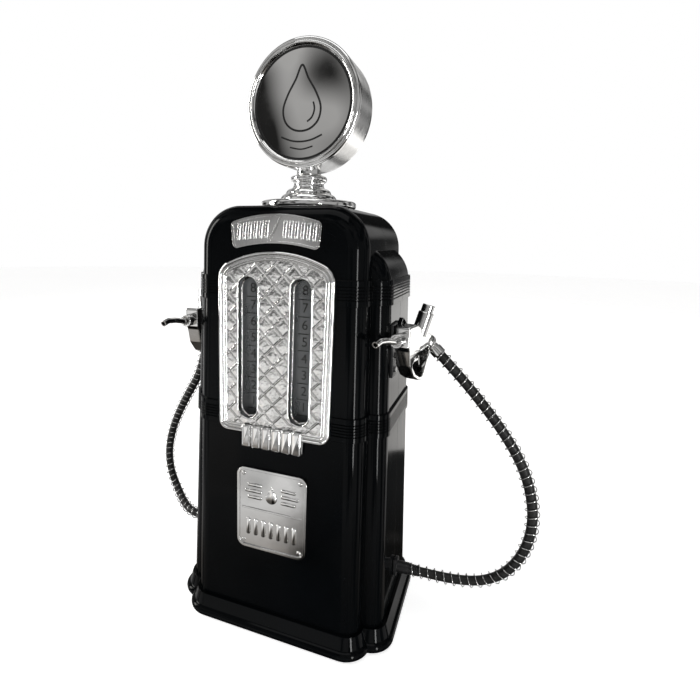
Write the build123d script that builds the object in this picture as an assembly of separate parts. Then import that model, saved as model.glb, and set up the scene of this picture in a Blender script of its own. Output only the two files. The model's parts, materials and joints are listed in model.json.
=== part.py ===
from build123d import *
import math
import os

# Novelty countertop drink dispenser in the form of a twin fuel pump.
# Millimetres, +Z up, front towards -Y. The origin is the centre of the footprint, on the surface
# that the rubber feet stand on. "right" means +X, seen from the front.

# ---------------------------------------------------------------- driving dimensions
TOTAL_HEIGHT = 480.0

# moulded body: a central block with a lower, shallower lobe on each side
BLOCK_HALF_WIDTH = 67.5       # at the block's shoulder
BLOCK_HALF_DEPTH = 62.9       # at the block's shoulder
BLOCK_TOP_Z = 357.5
BLOCK_SHOULDER_R = 31.5
BLOCK_SIDE_SLOPE = 0.028      # growth of the half width per mm downwards
BLOCK_FRONT_SLOPE = 0.025     # growth of the half depth per mm downwards
BLOCK_EDGE_R = 13.0
LOBE_HALF_WIDTH = 80.9        # at the lobe's shoulder
LOBE_HALF_DEPTH = 45.1        # at the lobe's shoulder
LOBE_TOP_Z = 332.0
LOBE_SHOULDER_R = 32.0
LOBE_SIDE_SLOPE = 0.041
LOBE_FRONT_SLOPE = 0.030
LOBE_EDGE_R = 12.0
WALL = 2.4
SEAM_GAP = 0.3                # parting line between the front and rear shells

# screw bosses inside the shells
BOSS_X = 60.0
BOSS_Z = (92.0, 290.0)
BOSS_RADIUS = 4.4
BOSS_COUNTERBORE_Y = 14.0     # where the screw heads seat
SCREW_RADIUS = 1.5
SCREW_HEAD_R = 3.0
SCREW_HEAD_T = 2.4
SCREW_BITE = 18.0             # how far a shell screw reaches past the parting line
SCREW_CLEARANCE = 0.2
TRAY_POST_RADIUS = 4.0
TRAY_POST_HEIGHT = 14.0
TRAY_WEB_HALF = 1.0
TRAY_WEB_HEIGHT = 12.0

# ribbed belts round the body
BELT_BASE_Z = (185.8, 287.0)
BELT_HEIGHT = 18.4
BELT_PROUD = 1.5
BELT_GROOVE_DEPTH = 1.0
BELT_GROOVE_WIDTH = 0.8
BELT_GROOVE_PITCH = 2.3
BELT_GROOVES = 5

# plinth, base tray, feet
FOOT_HEIGHT = 3.0
FOOT_RADIUS = 7.0
FOOT_X = 58.0
FOOT_Y = 36.0
PLINTH_BOTTOM_Z = 1.0
PLINTH_BEAD_TOP_Z = 9.5
PLINTH_TOP_Z = 20.5
PLINTH_BEAD_PROUD = 9.2
PLINTH_FOOT_PROUD = 5.8
PLINTH_TOP_PROUD = 2.8
PLINTH_LIP = 4.0
PLINTH_BEAD_STEPS = 8
TRAY_THICKNESS = 3.0
TRAY_GAP = 0.2                # between the tray's edge and the plinth

# trim on the tilted front face
PLATE_HALF_WIDTH = 47.6
PLATE_BOTTOM_Z = 180.9
PLATE_SHOULDER_Z = 311.2
PLATE_APEX_Z = 324.5
PLATE_CORNER_R = 8.0
PLATE_SHOULDER_R = 14.0
PLATE_THICKNESS = 2.0
PLATE_RIM_HEIGHT = 3.4
PLATE_RIM_WIDTH = 3.2
PLATE_BEAD_HEIGHT = 2.9
PLATE_BEAD_INSET = 4.6
PLATE_BEAD_WIDTH = 1.8
SLOT_CENTRE_X = 21.75
SLOT_HALF_WIDTH = 8.05
SLOT_BOTTOM_Z = 194.0
SLOT_TOP_Z = 305.0
SLOT_RIM_WIDTH = 1.4
TAB_HALF_WIDTH = 26.2
TAB_BOTTOM_Z = 169.8
TAB_TOP_Z = 188.0
TAB_THICKNESS = 4.0
TAB_RIBS = 6
TAB_RIB_WIDTH = 5.6
TAB_RIB_HEIGHT = 1.4
BADGE_HALF_WIDTH = 36.2
BADGE_END_LOW_Z = 325.2
BADGE_END_HIGH_Z = 344.6
BADGE_LOW_APEX_Z = 330.0
BADGE_HIGH_APEX_Z = 350.6
BADGE_THICKNESS = 1.8
BADGE_RIM = 1.6
NAMEPLATE_HALF_WIDTH = 30.9
NAMEPLATE_BOTTOM_Z = 79.3
NAMEPLATE_TOP_Z = 151.2
NAMEPLATE_CORNER_R = 7.0
NAMEPLATE_THICKNESS = 1.4
NAMEPLATE_RIM_HEIGHT = 2.4
NAMEPLATE_RIM_WIDTH = 2.0
RIVET_INSET = 5.6
RIVET_RADIUS = 1.7
RIVET_HEAD = 0.9
TRIM_SEAT = 0.05              # clearance between trim and the shell behind it
TRIM_GAP = 0.3                # clearance between trim and the belts beside it
WINDOW_MARGIN = 2.0           # shell opening beyond the sight slots

# tanks and the plumbing under them
TANK_INNER_X = 4.0
TANK_OUTER_X = 54.0
TANK_FRONT_Y = -57.0
TANK_BACK_Y = 30.0
TANK_BOTTOM_Z = 60.0
TANK_TOP_Z = 322.0
TANK_WALL = 2.0
TANK_EDGE_R = 6.0
NECK_X = 18.0
NECK_RADIUS = 11.0
NECK_TOP_Z = 344.0
STAND_PLATE = 4.0
STAND_LEG = 8.0
OUTLET_X = 28.0
OUTLET_RADIUS = 4.9
OUTLET_FLANGE_R = 9.0
OUTLET_FLANGE_T = 2.6
OUTLET_BODY_R = 5.5
OUTLET_BARB_END = 20.0        # from the outlet's axis to the barb's end
OUTLET_SHOULDER = 8.0         # from the outlet's axis to the tube's end
OUTLET_SHOULDER_R = 4.6
PLUMBING_Z = 46.0
BARB_RADIUS = 3.2
BORE_RADIUS = 2.0
TUBE_WALL = 1.6
FIT = 0.06                    # radial clearance of a pushed-together fit

# hose gland in each side wall, on the parting line
GLAND_OUTER_X = 104.5
GLAND_NECK_R = 6.8
GLAND_FLANGE_R = 8.6
GLAND_INNER_R = 9.0
GLAND_SLEEVE_R = 5.3
GLAND_FLANGE_T = 2.2
GLAND_BARB = 8.0              # spigot that the inner tube is pushed onto

# hoses and their wire guards
HOSE_RADIUS = 4.0
HOSE_BORE = 2.6
GUARD_RADIUS = 6.0
GUARD_INNER = 4.4
RUN_SHARE = 0.45

# lift-off globe lid
LID_RADIUS = 39.5
LID_BOTTOM_Z = 358.1
LID_TOP_Z = 363.4
LID_PLUG_R = 34.4
LID_PLUG_DEPTH = 7.0
TOP_HOLE_R = 35.0
GASKET_INNER_R = 36.0
GASKET_OUTER_R = 38.8
GLOBE_RADIUS = 46.3
GLOBE_Z = TOTAL_HEIGHT - GLOBE_RADIUS
DRUM_HALF_DEPTH = 14.0
DRUM_WALL = 2.6
BEZEL_DEPTH = 6.4
BEZEL_OPENING_R = 40.2
FACE_RADIUS = 42.4
FACE_RECESS = 2.8             # from the bezel's front edge back to the mirror face
FACE_THICKNESS = 1.6
FACE_SEAT = DRUM_HALF_DEPTH + BEZEL_DEPTH - FACE_RECESS
BOLT_RADIUS = 2.0
BOLT_HEAD_R = 4.0
BOLT_HEAD_T = 3.0

# nozzles, in a frame of their own: x outwards, y backwards, z up, origin in the spout's collar
SPOUT_RADIUS = 2.4
SPOUT_BORE = 1.6
COLLAR_RADIUS = 5.0
NOZZLE_HALF_WIDTH = 6.0
BARREL_RADIUS = 6.2
BARREL_LENGTH = 18.0
BARREL_SEAT = (1.6, 34.0, 0.5)
BARREL_LEAN = (0.20, 0.22, 1.0)
CAP_RADIUS = 5.0
CAP_LENGTH = 6.0
ELBOW_RADIUS = 6.2
FERRULE_RADIUS = 5.4
FERRULE_REACH = 13.0          # from the elbow's centre to the ferrule's end face
TRIGGER_HALF_WIDTH = 2.2
TRIGGER_SIDE_GAP = 0.3
TRIGGER_PIVOT = (33.0, -11.4) # y, z
TRIGGER_PIN_R = 0.9
HOOK_Y = 22.0
HOOK_HALF = 3.6
HOOK_FOOT_HALF = 5.6          # half length of the bridge between body and tongue
HOOK_TOP_Z = 14.2
HOOK_LOW_Z = -1.0
HOOK_THICKNESS = 1.6
HOOK_CLEARANCE = 0.25
BALL_POINT = (2.9, 51.5, -8.0)
TRIGGER_EYE_R = 2.2
COLLAR_LENGTH = 6.2
COLLAR_WALL = 1.1
NUT_RADIUS = 5.2
NUT_LENGTH = 3.4
NUT_BACK_Y = 7.0
ELBOW_NECK_R = 4.4
ELBOW_NECK = 1.0              # from the ball's surface to the ferrule

# holsters: a plate on the side wall with a pocket that the nozzle's hook drops into
HOLSTER_FRONT_Y = -34.5
HOLSTER_BACK_Y = -9.0
HOLSTER_LOW_Z = 231.0
HOLSTER_HIGH_Z = 272.0
HOLSTER_PLATE = 1.8
HOLSTER_SEAT = 0.1            # between the plate and the wall
HOLSTER_SCREW_R = 1.3
HOLSTER_SCREW_HEAD_R = 2.3
HOLSTER_SCREW_RISES = (5.0, 16.0)
POCKET_GAP = 0.4              # between the nozzle's inner face and the pocket
POCKET_WALL = 1.4
POCKET_LOW_Z = -6.0
POCKET_TOP = 8.4

# each side: nozzle origin, outward turn of its rear end, and the hose's route
SIDES = {
    "right": {
        "sign": 1,
        "origin": (89.1, -42.0, 261.8),
        "turn": 15.0,
        "route": [
            (133.5, 6.5, 226.5), (151.0, 6.2, 207.5), (168.5, 6.0, 187.0), (184.5, 5.5, 163.5),
            (194.5, 5.0, 139.5), (199.2, 4.0, 113.5), (196.0, 3.0, 87.0), (184.5, 2.0, 64.8),
            (167.5, 1.2, 51.8), (147.0, 0.6, 47.0), (125.0, 0.0, 46.0),
        ],
    },
    "left": {
        "sign": -1,
        "origin": (-94.4, -42.0, 263.1),
        "turn": 2.0,
        "route": [
            (-115.5, 14.5, 219.5), (-125.0, 19.0, 196.0), (-141.5, 24.0, 174.0), (-157.5, 28.0, 150.0),
            (-170.5, 30.0, 124.5), (-176.5, 29.0, 98.0), (-171.5, 25.0, 74.5), (-155.5, 17.0, 56.0),
            (-139.0, 6.2, 47.8), (-121.8, 0.0, 46.0),
        ],
    },
}

NODES = {}


def keep(name, shape):
    """Record a finished piece under its node name."""
    NODES[name] = shape


def block_of(x0, x1, y0, y1, z0, z1):
    """Axis-aligned box between two corners."""
    size = (abs(x1 - x0), abs(y1 - y0), abs(z1 - z0))
    return Pos((x0 + x1) / 2, (y0 + y1) / 2, (z0 + z1) / 2) * Box(*size)


def rod(start, direction, length, radius):
    """Cylinder from a point along a direction."""
    plane = Plane(origin=start, z_dir=direction)
    return plane * Pos(0, 0, length / 2) * Cylinder(radius, length)


# ---------------------------------------------------------------- body envelope
def column(half_w, half_d, top_z, arc_r, slope_w, slope_d, edge_r, low_z, grow):
    """One tapering, round-shouldered column of the body, grown outwards by grow on every side."""
    arc = arc_r + grow
    centre_z = top_z - arc_r
    lean = math.atan(slope_w)
    touch_z = centre_z + arc * math.sin(lean)
    half_touch = half_w + grow + slope_w * (centre_z - touch_z)
    centre_x = half_touch - arc * math.cos(lean)
    half_low = half_touch + slope_w * (touch_z - low_z)
    high_z = top_z + grow
    mid = math.radians(45)
    arc_mid = (centre_x + arc * math.sin(mid), centre_z + arc * math.cos(mid))
    with BuildPart() as part:
        with BuildSketch(Plane.XZ):
            with BuildLine():
                Line((-half_low, low_z), (half_low, low_z))
                Line((half_low, low_z), (half_touch, touch_z))
                ThreePointArc((half_touch, touch_z), arc_mid, (centre_x, high_z))
                Line((centre_x, high_z), (-centre_x, high_z))
                ThreePointArc((-centre_x, high_z), (-arc_mid[0], arc_mid[1]), (-half_touch, touch_z))
                Line((-half_touch, touch_z), (-half_low, low_z))
            make_face()
        extrude(amount=200, both=True)
        depth_low = half_d + grow + slope_d * (centre_z - low_z)
        depth_high = half_d + grow + slope_d * (centre_z - high_z)
        with BuildSketch(Plane.YZ):
            with BuildLine():
                Polyline((-depth_low, low_z), (depth_low, low_z), (depth_high, high_z),
                         (-depth_high, high_z), close=True)
            make_face()
        extrude(amount=200, both=True, mode=Mode.INTERSECT)
        for face in (part.faces().sort_by(Axis.Y)[0], part.faces().sort_by(Axis.Y)[-1]):
            rim = [e for e in face.edges() if e.center().Z > low_z + 1]
            fillet(rim, edge_r + grow)
    return part.part


def envelope(grow, low_z):
    """The body's outside, grown by grow, from low_z up."""
    block = column(BLOCK_HALF_WIDTH, BLOCK_HALF_DEPTH, BLOCK_TOP_Z, BLOCK_SHOULDER_R,
                   BLOCK_SIDE_SLOPE, BLOCK_FRONT_SLOPE, BLOCK_EDGE_R, low_z, grow)
    lobes = column(LOBE_HALF_WIDTH, LOBE_HALF_DEPTH, LOBE_TOP_Z, LOBE_SHOULDER_R,
                   LOBE_SIDE_SLOPE, LOBE_FRONT_SLOPE, LOBE_EDGE_R, low_z, grow)
    return block + lobes


def lobe_half_width(z):
    """Half width of the lobes' side face at a height."""
    return LOBE_HALF_WIDTH + LOBE_SIDE_SLOPE * (LOBE_TOP_Z - LOBE_SHOULDER_R - z)


def front_y(z):
    """Y of the tilted front face at a height."""
    return -(BLOCK_HALF_DEPTH + BLOCK_FRONT_SLOPE * (BLOCK_TOP_Z - BLOCK_SHOULDER_R - z))


def front_plane():
    """Sketch plane on the front face: x to the right, y up the face, z outwards."""
    return Plane(origin=(0, front_y(0), 0), x_dir=(1, 0, 0), z_dir=(0, -1, BLOCK_FRONT_SLOPE))


def slab(z0, z1):
    """A wide horizontal slice."""
    return block_of(-250, 250, -250, 250, z0, z1)


TRAY_BOTTOM_Z = FOOT_HEIGHT
SHELL_BOTTOM_Z = TRAY_BOTTOM_Z + TRAY_THICKNESS
OUTSIDE = envelope(0, SHELL_BOTTOM_Z)


# ---------------------------------------------------------------- trim outlines on the front face
def faceplate_outline(inset):
    """Round-shouldered arch, drawn inset from the plate's edge."""
    half = PLATE_HALF_WIDTH
    with BuildSketch() as sketch:
        with BuildLine():
            Line((-half, PLATE_BOTTOM_Z), (half, PLATE_BOTTOM_Z))
            Line((half, PLATE_BOTTOM_Z), (half, PLATE_SHOULDER_Z))
            ThreePointArc((half, PLATE_SHOULDER_Z), (0, PLATE_APEX_Z), (-half, PLATE_SHOULDER_Z))
            Line((-half, PLATE_SHOULDER_Z), (-half, PLATE_BOTTOM_Z))
        make_face()
        fillet(sketch.vertices().group_by(Axis.Y)[0], PLATE_CORNER_R)
        fillet(sketch.vertices().group_by(Axis.Y)[-1], PLATE_SHOULDER_R)
    return offset(sketch.sketch, -inset) if inset else sketch.sketch


def slots_outline(grow):
    """Both upright sight slots."""
    height = SLOT_TOP_Z - SLOT_BOTTOM_Z + 2 * grow
    middle = (SLOT_TOP_Z + SLOT_BOTTOM_Z) / 2
    with BuildSketch() as sketch:
        with Locations((-SLOT_CENTRE_X, middle), (SLOT_CENTRE_X, middle)):
            SlotOverall(height, 2 * (SLOT_HALF_WIDTH + grow), rotation=90)
    return sketch.sketch


def badge_outline(inset):
    """Arched strip: two arcs joined by short ends."""
    half = BADGE_HALF_WIDTH
    with BuildSketch() as sketch:
        with BuildLine():
            ThreePointArc((-half + 2, BADGE_END_LOW_Z), (0, BADGE_LOW_APEX_Z),
                          (half - 2, BADGE_END_LOW_Z))
            Line((half - 2, BADGE_END_LOW_Z), (half, BADGE_END_HIGH_Z))
            ThreePointArc((half, BADGE_END_HIGH_Z), (0, BADGE_HIGH_APEX_Z), (-half, BADGE_END_HIGH_Z))
            Line((-half, BADGE_END_HIGH_Z), (-half + 2, BADGE_END_LOW_Z))
        make_face()
        fillet(sketch.vertices(), 3.5)
    return offset(sketch.sketch, -inset) if inset else sketch.sketch


def nameplate_outline(inset):
    """Rounded rectangle of the lower plate."""
    height = NAMEPLATE_TOP_Z - NAMEPLATE_BOTTOM_Z
    middle = (NAMEPLATE_TOP_Z + NAMEPLATE_BOTTOM_Z) / 2
    with BuildSketch() as sketch:
        with Locations((0, middle)):
            RectangleRounded(2 * (NAMEPLATE_HALF_WIDTH - inset), height - 2 * inset,
                             NAMEPLATE_CORNER_R - inset)
    return sketch.sketch


def on_front(outline, low, high):
    """Extrude an outline on the front face between two heights above it."""
    face = front_plane() * Pos(0, 0, low) * outline
    return extrude(face, amount=high - low, dir=front_plane().z_dir)


# ---------------------------------------------------------------- body shells
def belts():
    """The two ribbed belts, as solids to add to the envelope."""
    floor_slabs = []
    rib_slabs = []
    for base in BELT_BASE_Z:
        floor_slabs.append(slab(base, base + BELT_HEIGHT))
        edge = (BELT_HEIGHT - (BELT_GROOVES - 1) * BELT_GROOVE_PITCH) / 2
        low = base
        for groove in range(BELT_GROOVES):
            middle = base + edge + groove * BELT_GROOVE_PITCH
            rib_slabs.append(slab(low, middle - BELT_GROOVE_WIDTH / 2))
            low = middle + BELT_GROOVE_WIDTH / 2
        rib_slabs.append(slab(low, base + BELT_HEIGHT))
    floor = envelope(BELT_PROUD - BELT_GROOVE_DEPTH, BELT_BASE_Z[0] - 5) & Compound(floor_slabs)
    ribs = envelope(BELT_PROUD, BELT_BASE_Z[0] - 5) & Compound(rib_slabs)
    return floor, ribs


def screw_posts(back):
    """Screw bosses of one shell, reaching from its outer wall to the parting line."""
    far = 90.0 if back else -90.0
    near = SEAM_GAP / 2 if back else -SEAM_GAP / 2
    posts = []
    for x in (-BOSS_X, BOSS_X):
        for z in BOSS_Z:
            length = abs(far - near)
            post = Rot(90, 0, 0) * Cylinder(BOSS_RADIUS, length)
            posts.append(Pos(x, (far + near) / 2, z) * post)
    return posts


def tray_posts():
    """Screw bosses that stand on the base tray, two in each shell."""
    posts = []
    for x in (-FOOT_X, FOOT_X):
        for y in (-FOOT_Y, FOOT_Y):
            posts.append(rod((x, y, SHELL_BOTTOM_Z), (0, 0, 1), TRAY_POST_HEIGHT, TRAY_POST_RADIUS))
            wall_y = 75 if y > 0 else -75
            posts.append(block_of(x - TRAY_WEB_HALF, x + TRAY_WEB_HALF, y, wall_y,
                                  SHELL_BOTTOM_Z, SHELL_BOTTOM_Z + TRAY_WEB_HEIGHT))
    return posts


def make_shells():
    floor, ribs = belts()
    inside = envelope(-WALL, SHELL_BOTTOM_Z - 1)
    trim_gap = on_front(offset(faceplate_outline(0), TRIM_GAP), 0, 12)
    trim_gap += on_front(offset(tab_outline(), TRIM_GAP), 0, 12)
    body = OUTSIDE + (floor - trim_gap) + (ribs - trim_gap)
    hollow = body - inside
    hollow -= on_front(slots_outline(WINDOW_MARGIN), -12, 4)
    hollow -= Pos(0, 0, BLOCK_TOP_Z) * Cylinder(TOP_HOLE_R, 20)
    hollow += Compound(screw_posts(False) + screw_posts(True) + tray_posts()) & inside
    for sign in (-1, 1):
        hollow -= rod((sign * 80, 0, PLUMBING_Z), (sign, 0, 0), 30, GLAND_NECK_R + SCREW_CLEARANCE)
        for z in BOSS_Z:
            pilot = (sign * BOSS_X, -SCREW_BITE - 4, z)
            seat = (sign * BOSS_X, BOSS_COUNTERBORE_Y, z)
            hollow -= rod(pilot, (0, 1, 0), SCREW_BITE + 4, SCREW_RADIUS)
            hollow -= rod((sign * BOSS_X, 0, z), (0, 1, 0), 90, SCREW_RADIUS + SCREW_CLEARANCE)
            hollow -= rod(seat, (0, 1, 0), 90, SCREW_HEAD_R + 2 * SCREW_CLEARANCE)
        for y in (-FOOT_Y, FOOT_Y):
            low = (sign * FOOT_X, y, SHELL_BOTTOM_Z - 1)
            hollow -= rod(low, (0, 0, 1), TRAY_POST_HEIGHT - 1, SCREW_RADIUS)
    keep("front_shell", hollow & block_of(-250, 250, -250, -SEAM_GAP / 2, 0, 400))
    keep("rear_shell", hollow & block_of(-250, 250, SEAM_GAP / 2, 250, 0, 400))


def tab_outline():
    """Small ribbed apron below the faceplate."""
    with BuildSketch() as sketch:
        with Locations((0, (TAB_TOP_Z + TAB_BOTTOM_Z) / 2)):
            RectangleRounded(2 * TAB_HALF_WIDTH, TAB_TOP_Z - TAB_BOTTOM_Z, 2.5)
    return sketch.sketch


def make_shell_screws():
    screws = []
    for x in (-BOSS_X, BOSS_X):
        for z in BOSS_Z:
            head = rod((x, BOSS_COUNTERBORE_Y, z), (0, 1, 0), SCREW_HEAD_T, SCREW_HEAD_R)
            reach = BOSS_COUNTERBORE_Y + SCREW_BITE
            shank = rod((x, -SCREW_BITE, z), (0, 1, 0), reach, SCREW_RADIUS - FIT)
            recess = rod((x, BOSS_COUNTERBORE_Y + 1.2, z), (0, 1, 0), 2, 1.2)
            screws.append(head + shank - recess)
    keep("shell_screws", Compound(screws))


# ---------------------------------------------------------------- plinth and base
def plan_solid(levels):
    """Stack of plan outlines of the body's foot, each grown and placed at a height, joined up."""
    drop = BLOCK_TOP_Z - BLOCK_SHOULDER_R - PLINTH_TOP_Z
    block = (BLOCK_HALF_WIDTH + BLOCK_SIDE_SLOPE * drop, BLOCK_HALF_DEPTH + BLOCK_FRONT_SLOPE * drop)
    drop = LOBE_TOP_Z - LOBE_SHOULDER_R - PLINTH_TOP_Z
    lobes = (LOBE_HALF_WIDTH + LOBE_SIDE_SLOPE * drop, LOBE_HALF_DEPTH + LOBE_FRONT_SLOPE * drop)
    stacks = []
    for (half_x, half_y), radius in ((block, BLOCK_EDGE_R), (lobes, LOBE_EDGE_R)):
        faces = []
        for z, grow in levels:
            outline = RectangleRounded(2 * (half_x + grow), 2 * (half_y + grow), radius + grow)
            faces.append(Pos(0, 0, z) * outline)
        stacks.append(loft([sketch.faces()[0] for sketch in faces], ruled=True))
    return stacks[0] + stacks[1]


def make_plinth():
    bead_mid = (PLINTH_BOTTOM_Z + PLINTH_BEAD_TOP_Z) / 2
    half = PLINTH_BEAD_TOP_Z - bead_mid
    levels = []
    for step in range(PLINTH_BEAD_STEPS + 1):
        angle = math.radians(-70 + 140 * step / PLINTH_BEAD_STEPS)
        level = bead_mid + half * math.sin(angle) / math.sin(math.radians(70))
        levels.append((level, PLINTH_BEAD_PROUD - half * (1 - math.cos(angle))))
    levels.append((PLINTH_BEAD_TOP_Z + 0.5, PLINTH_FOOT_PROUD))
    levels.append((PLINTH_TOP_Z, PLINTH_TOP_PROUD))
    body = plan_solid(levels)
    body -= envelope(0.15, TRAY_BOTTOM_Z)
    body -= plan_solid([(PLINTH_BOTTOM_Z - 1, -PLINTH_LIP), (PLINTH_BOTTOM_Z + 7, -PLINTH_LIP)])
    keep("plinth", body)


def make_tray():
    tray = plan_solid([(TRAY_BOTTOM_Z, -TRAY_GAP), (SHELL_BOTTOM_Z, -TRAY_GAP)])
    screws = []
    feet = []
    for x in (-FOOT_X, FOOT_X):
        for y in (-FOOT_Y, FOOT_Y):
            tray -= rod((x, y, TRAY_BOTTOM_Z - 1), (0, 0, 1), 8, SCREW_RADIUS + 0.2)
            head = rod((x, y, TRAY_BOTTOM_Z - 1.8), (0, 0, 1), 1.8, SCREW_HEAD_R)
            shank = rod((x, y, TRAY_BOTTOM_Z), (0, 0, 1), 13, SCREW_RADIUS - FIT)
            screws.append(head + shank)
            foot = rod((x, y, 0), (0, 0, 1), FOOT_HEIGHT, FOOT_RADIUS)
            foot = foot.fillet(1.0, foot.edges().group_by(Axis.Z)[0])
            feet.append(foot - rod((x, y, -1), (0, 0, 1), 8, SCREW_HEAD_R + 0.3))
    keep("base_tray", tray)
    keep("base_screws", Compound(screws))
    keep("rubber_feet", Compound(feet))


# ---------------------------------------------------------------- chrome trim
def make_faceplate():
    plate = on_front(faceplate_outline(0), TRIM_SEAT, PLATE_THICKNESS)
    rim = faceplate_outline(0) - faceplate_outline(PLATE_RIM_WIDTH)
    plate += on_front(rim, TRIM_SEAT, PLATE_RIM_HEIGHT)
    bead_inner = PLATE_BEAD_INSET + PLATE_BEAD_WIDTH
    bead = faceplate_outline(PLATE_BEAD_INSET) - faceplate_outline(bead_inner)
    plate += on_front(bead, TRIM_SEAT, PLATE_BEAD_HEIGHT)
    plate += on_front(slots_outline(SLOT_RIM_WIDTH), TRIM_SEAT, PLATE_BEAD_HEIGHT)
    plate += on_front(tab_outline(), TRIM_SEAT, TAB_THICKNESS)
    pitch = 2 * TAB_HALF_WIDTH / TAB_RIBS
    for rib in range(TAB_RIBS):
        x = -TAB_HALF_WIDTH + (rib + 0.5) * pitch
        with BuildSketch() as sketch:
            with Locations((x, (TAB_TOP_Z + TAB_BOTTOM_Z) / 2)):
                RectangleRounded(TAB_RIB_WIDTH, TAB_TOP_Z - TAB_BOTTOM_Z - 2.4, 1.8)
        plate += on_front(sketch.sketch, TRIM_SEAT, TAB_THICKNESS + TAB_RIB_HEIGHT)
    plate -= on_front(slots_outline(0), -2, 12)
    keep("faceplate", plate)


def make_badge():
    badge = on_front(badge_outline(0), -6, BADGE_THICKNESS)
    badge += on_front(badge_outline(0) - badge_outline(BADGE_RIM), 0, BADGE_THICKNESS + 0.8)
    with BuildSketch() as sketch:
        with Locations((0, (BADGE_LOW_APEX_Z + BADGE_HIGH_APEX_Z) / 2)):
            Rectangle(1.4, 30, rotation=-28)
    bar = sketch.sketch & badge_outline(BADGE_RIM / 2)
    badge += on_front(bar, 0, BADGE_THICKNESS + 0.8)
    keep("upper_badge", badge - envelope(TRIM_SEAT, 250))


def make_nameplate():
    plate = on_front(nameplate_outline(0), TRIM_SEAT, NAMEPLATE_THICKNESS)
    rim = nameplate_outline(0) - nameplate_outline(NAMEPLATE_RIM_WIDTH)
    plate += on_front(rim, TRIM_SEAT, NAMEPLATE_RIM_HEIGHT)
    middle = (NAMEPLATE_TOP_Z + NAMEPLATE_BOTTOM_Z) / 2
    with BuildSketch() as sketch:
        with Locations((0, middle)):
            Rectangle(2 * NAMEPLATE_HALF_WIDTH - 8, 1.2)
    plate += on_front(sketch.sketch, TRIM_SEAT, NAMEPLATE_THICKNESS + 0.7)
    rivets = []
    for x in (-1, 1):
        for z in (NAMEPLATE_BOTTOM_Z + RIVET_INSET, NAMEPLATE_TOP_Z - RIVET_INSET):
            with BuildSketch() as sketch:
                with Locations((x * (NAMEPLATE_HALF_WIDTH - RIVET_INSET), z)):
                    Circle(RIVET_RADIUS)
            head = on_front(sketch.sketch, NAMEPLATE_THICKNESS, NAMEPLATE_THICKNESS + RIVET_HEAD)
            top = head.faces().sort_by(Axis.Y)[0]
            rivets.append(head.fillet(0.7, top.edges()))
    keep("lower_plate", plate)
    keep("plate_rivets", Compound(rivets))


# ---------------------------------------------------------------- tanks and plumbing
def make_tank(side, sign):
    """Open-topped tank, and the flat cover with a filler neck that is bonded onto it."""
    x0, x1 = sorted((sign * TANK_INNER_X, sign * TANK_OUTER_X))
    seam = TANK_TOP_Z - TANK_WALL
    outer = block_of(x0, x1, TANK_FRONT_Y, TANK_BACK_Y, TANK_BOTTOM_Z, seam)
    outer = outer.fillet(TANK_EDGE_R, outer.edges().filter_by(Axis.Z))
    inner = block_of(x0 + TANK_WALL, x1 - TANK_WALL, TANK_FRONT_Y + TANK_WALL,
                     TANK_BACK_Y - TANK_WALL, TANK_BOTTOM_Z + TANK_WALL, TANK_TOP_Z + 1)
    inner = inner.fillet(TANK_EDGE_R - TANK_WALL, inner.edges().filter_by(Axis.Z))
    drain = rod((sign * OUTLET_X, 0, TANK_BOTTOM_Z - 2), (0, 0, 1), 8, OUTLET_RADIUS + FIT)
    keep("tank_" + side, outer - inner - drain)
    cover = block_of(x0, x1, TANK_FRONT_Y, TANK_BACK_Y, seam, TANK_TOP_Z)
    cover = cover.fillet(TANK_EDGE_R, cover.edges().filter_by(Axis.Z))
    cover += rod((sign * NECK_X, 0, seam), (0, 0, 1), NECK_TOP_Z - seam, NECK_RADIUS)
    cover -= rod((sign * NECK_X, 0, seam - 5), (0, 0, 1), 60, NECK_RADIUS - TANK_WALL)
    keep("tank_cover_" + side, cover)


def make_outlet(side, sign):
    x = sign * OUTLET_X
    seat = (x, 0, TANK_BOTTOM_Z - OUTLET_FLANGE_T)
    crossing = (x, 0, PLUMBING_Z)
    across = (sign, 0, 0)
    up = (0, 0, 1)
    fitting = rod(seat, up, OUTLET_FLANGE_T, OUTLET_FLANGE_R)
    fitting += rod(seat, up, OUTLET_FLANGE_T + TANK_WALL, OUTLET_RADIUS)
    drop = TANK_BOTTOM_Z - PLUMBING_Z
    fitting += rod((x, 0, PLUMBING_Z - OUTLET_BODY_R), up, drop + 4, OUTLET_BODY_R)
    fitting += rod(crossing, across, OUTLET_BARB_END, BARB_RADIUS)
    fitting += rod(crossing, across, OUTLET_SHOULDER, OUTLET_SHOULDER_R)
    fitting -= rod(crossing, up, 40, BORE_RADIUS)
    fitting -= rod(crossing, across, 30, BORE_RADIUS)
    keep("tank_outlet_" + side, fitting)
    start = sign * (OUTLET_X + OUTLET_SHOULDER)
    reach = gland_inner_x() - GLAND_FLANGE_T - abs(start)
    tube = rod((start, 0, PLUMBING_Z), (sign, 0, 0), reach, BARB_RADIUS + FIT + TUBE_WALL)
    tube -= rod((start - sign, 0, PLUMBING_Z), (sign, 0, 0), reach + 2, BARB_RADIUS + FIT)
    keep("inner_tube_" + side, tube)


def gland_inner_x():
    """X of the inner face of the side wall where the gland's inner flange stops."""
    return lobe_half_width(PLUMBING_Z) - WALL - 0.6


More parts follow.
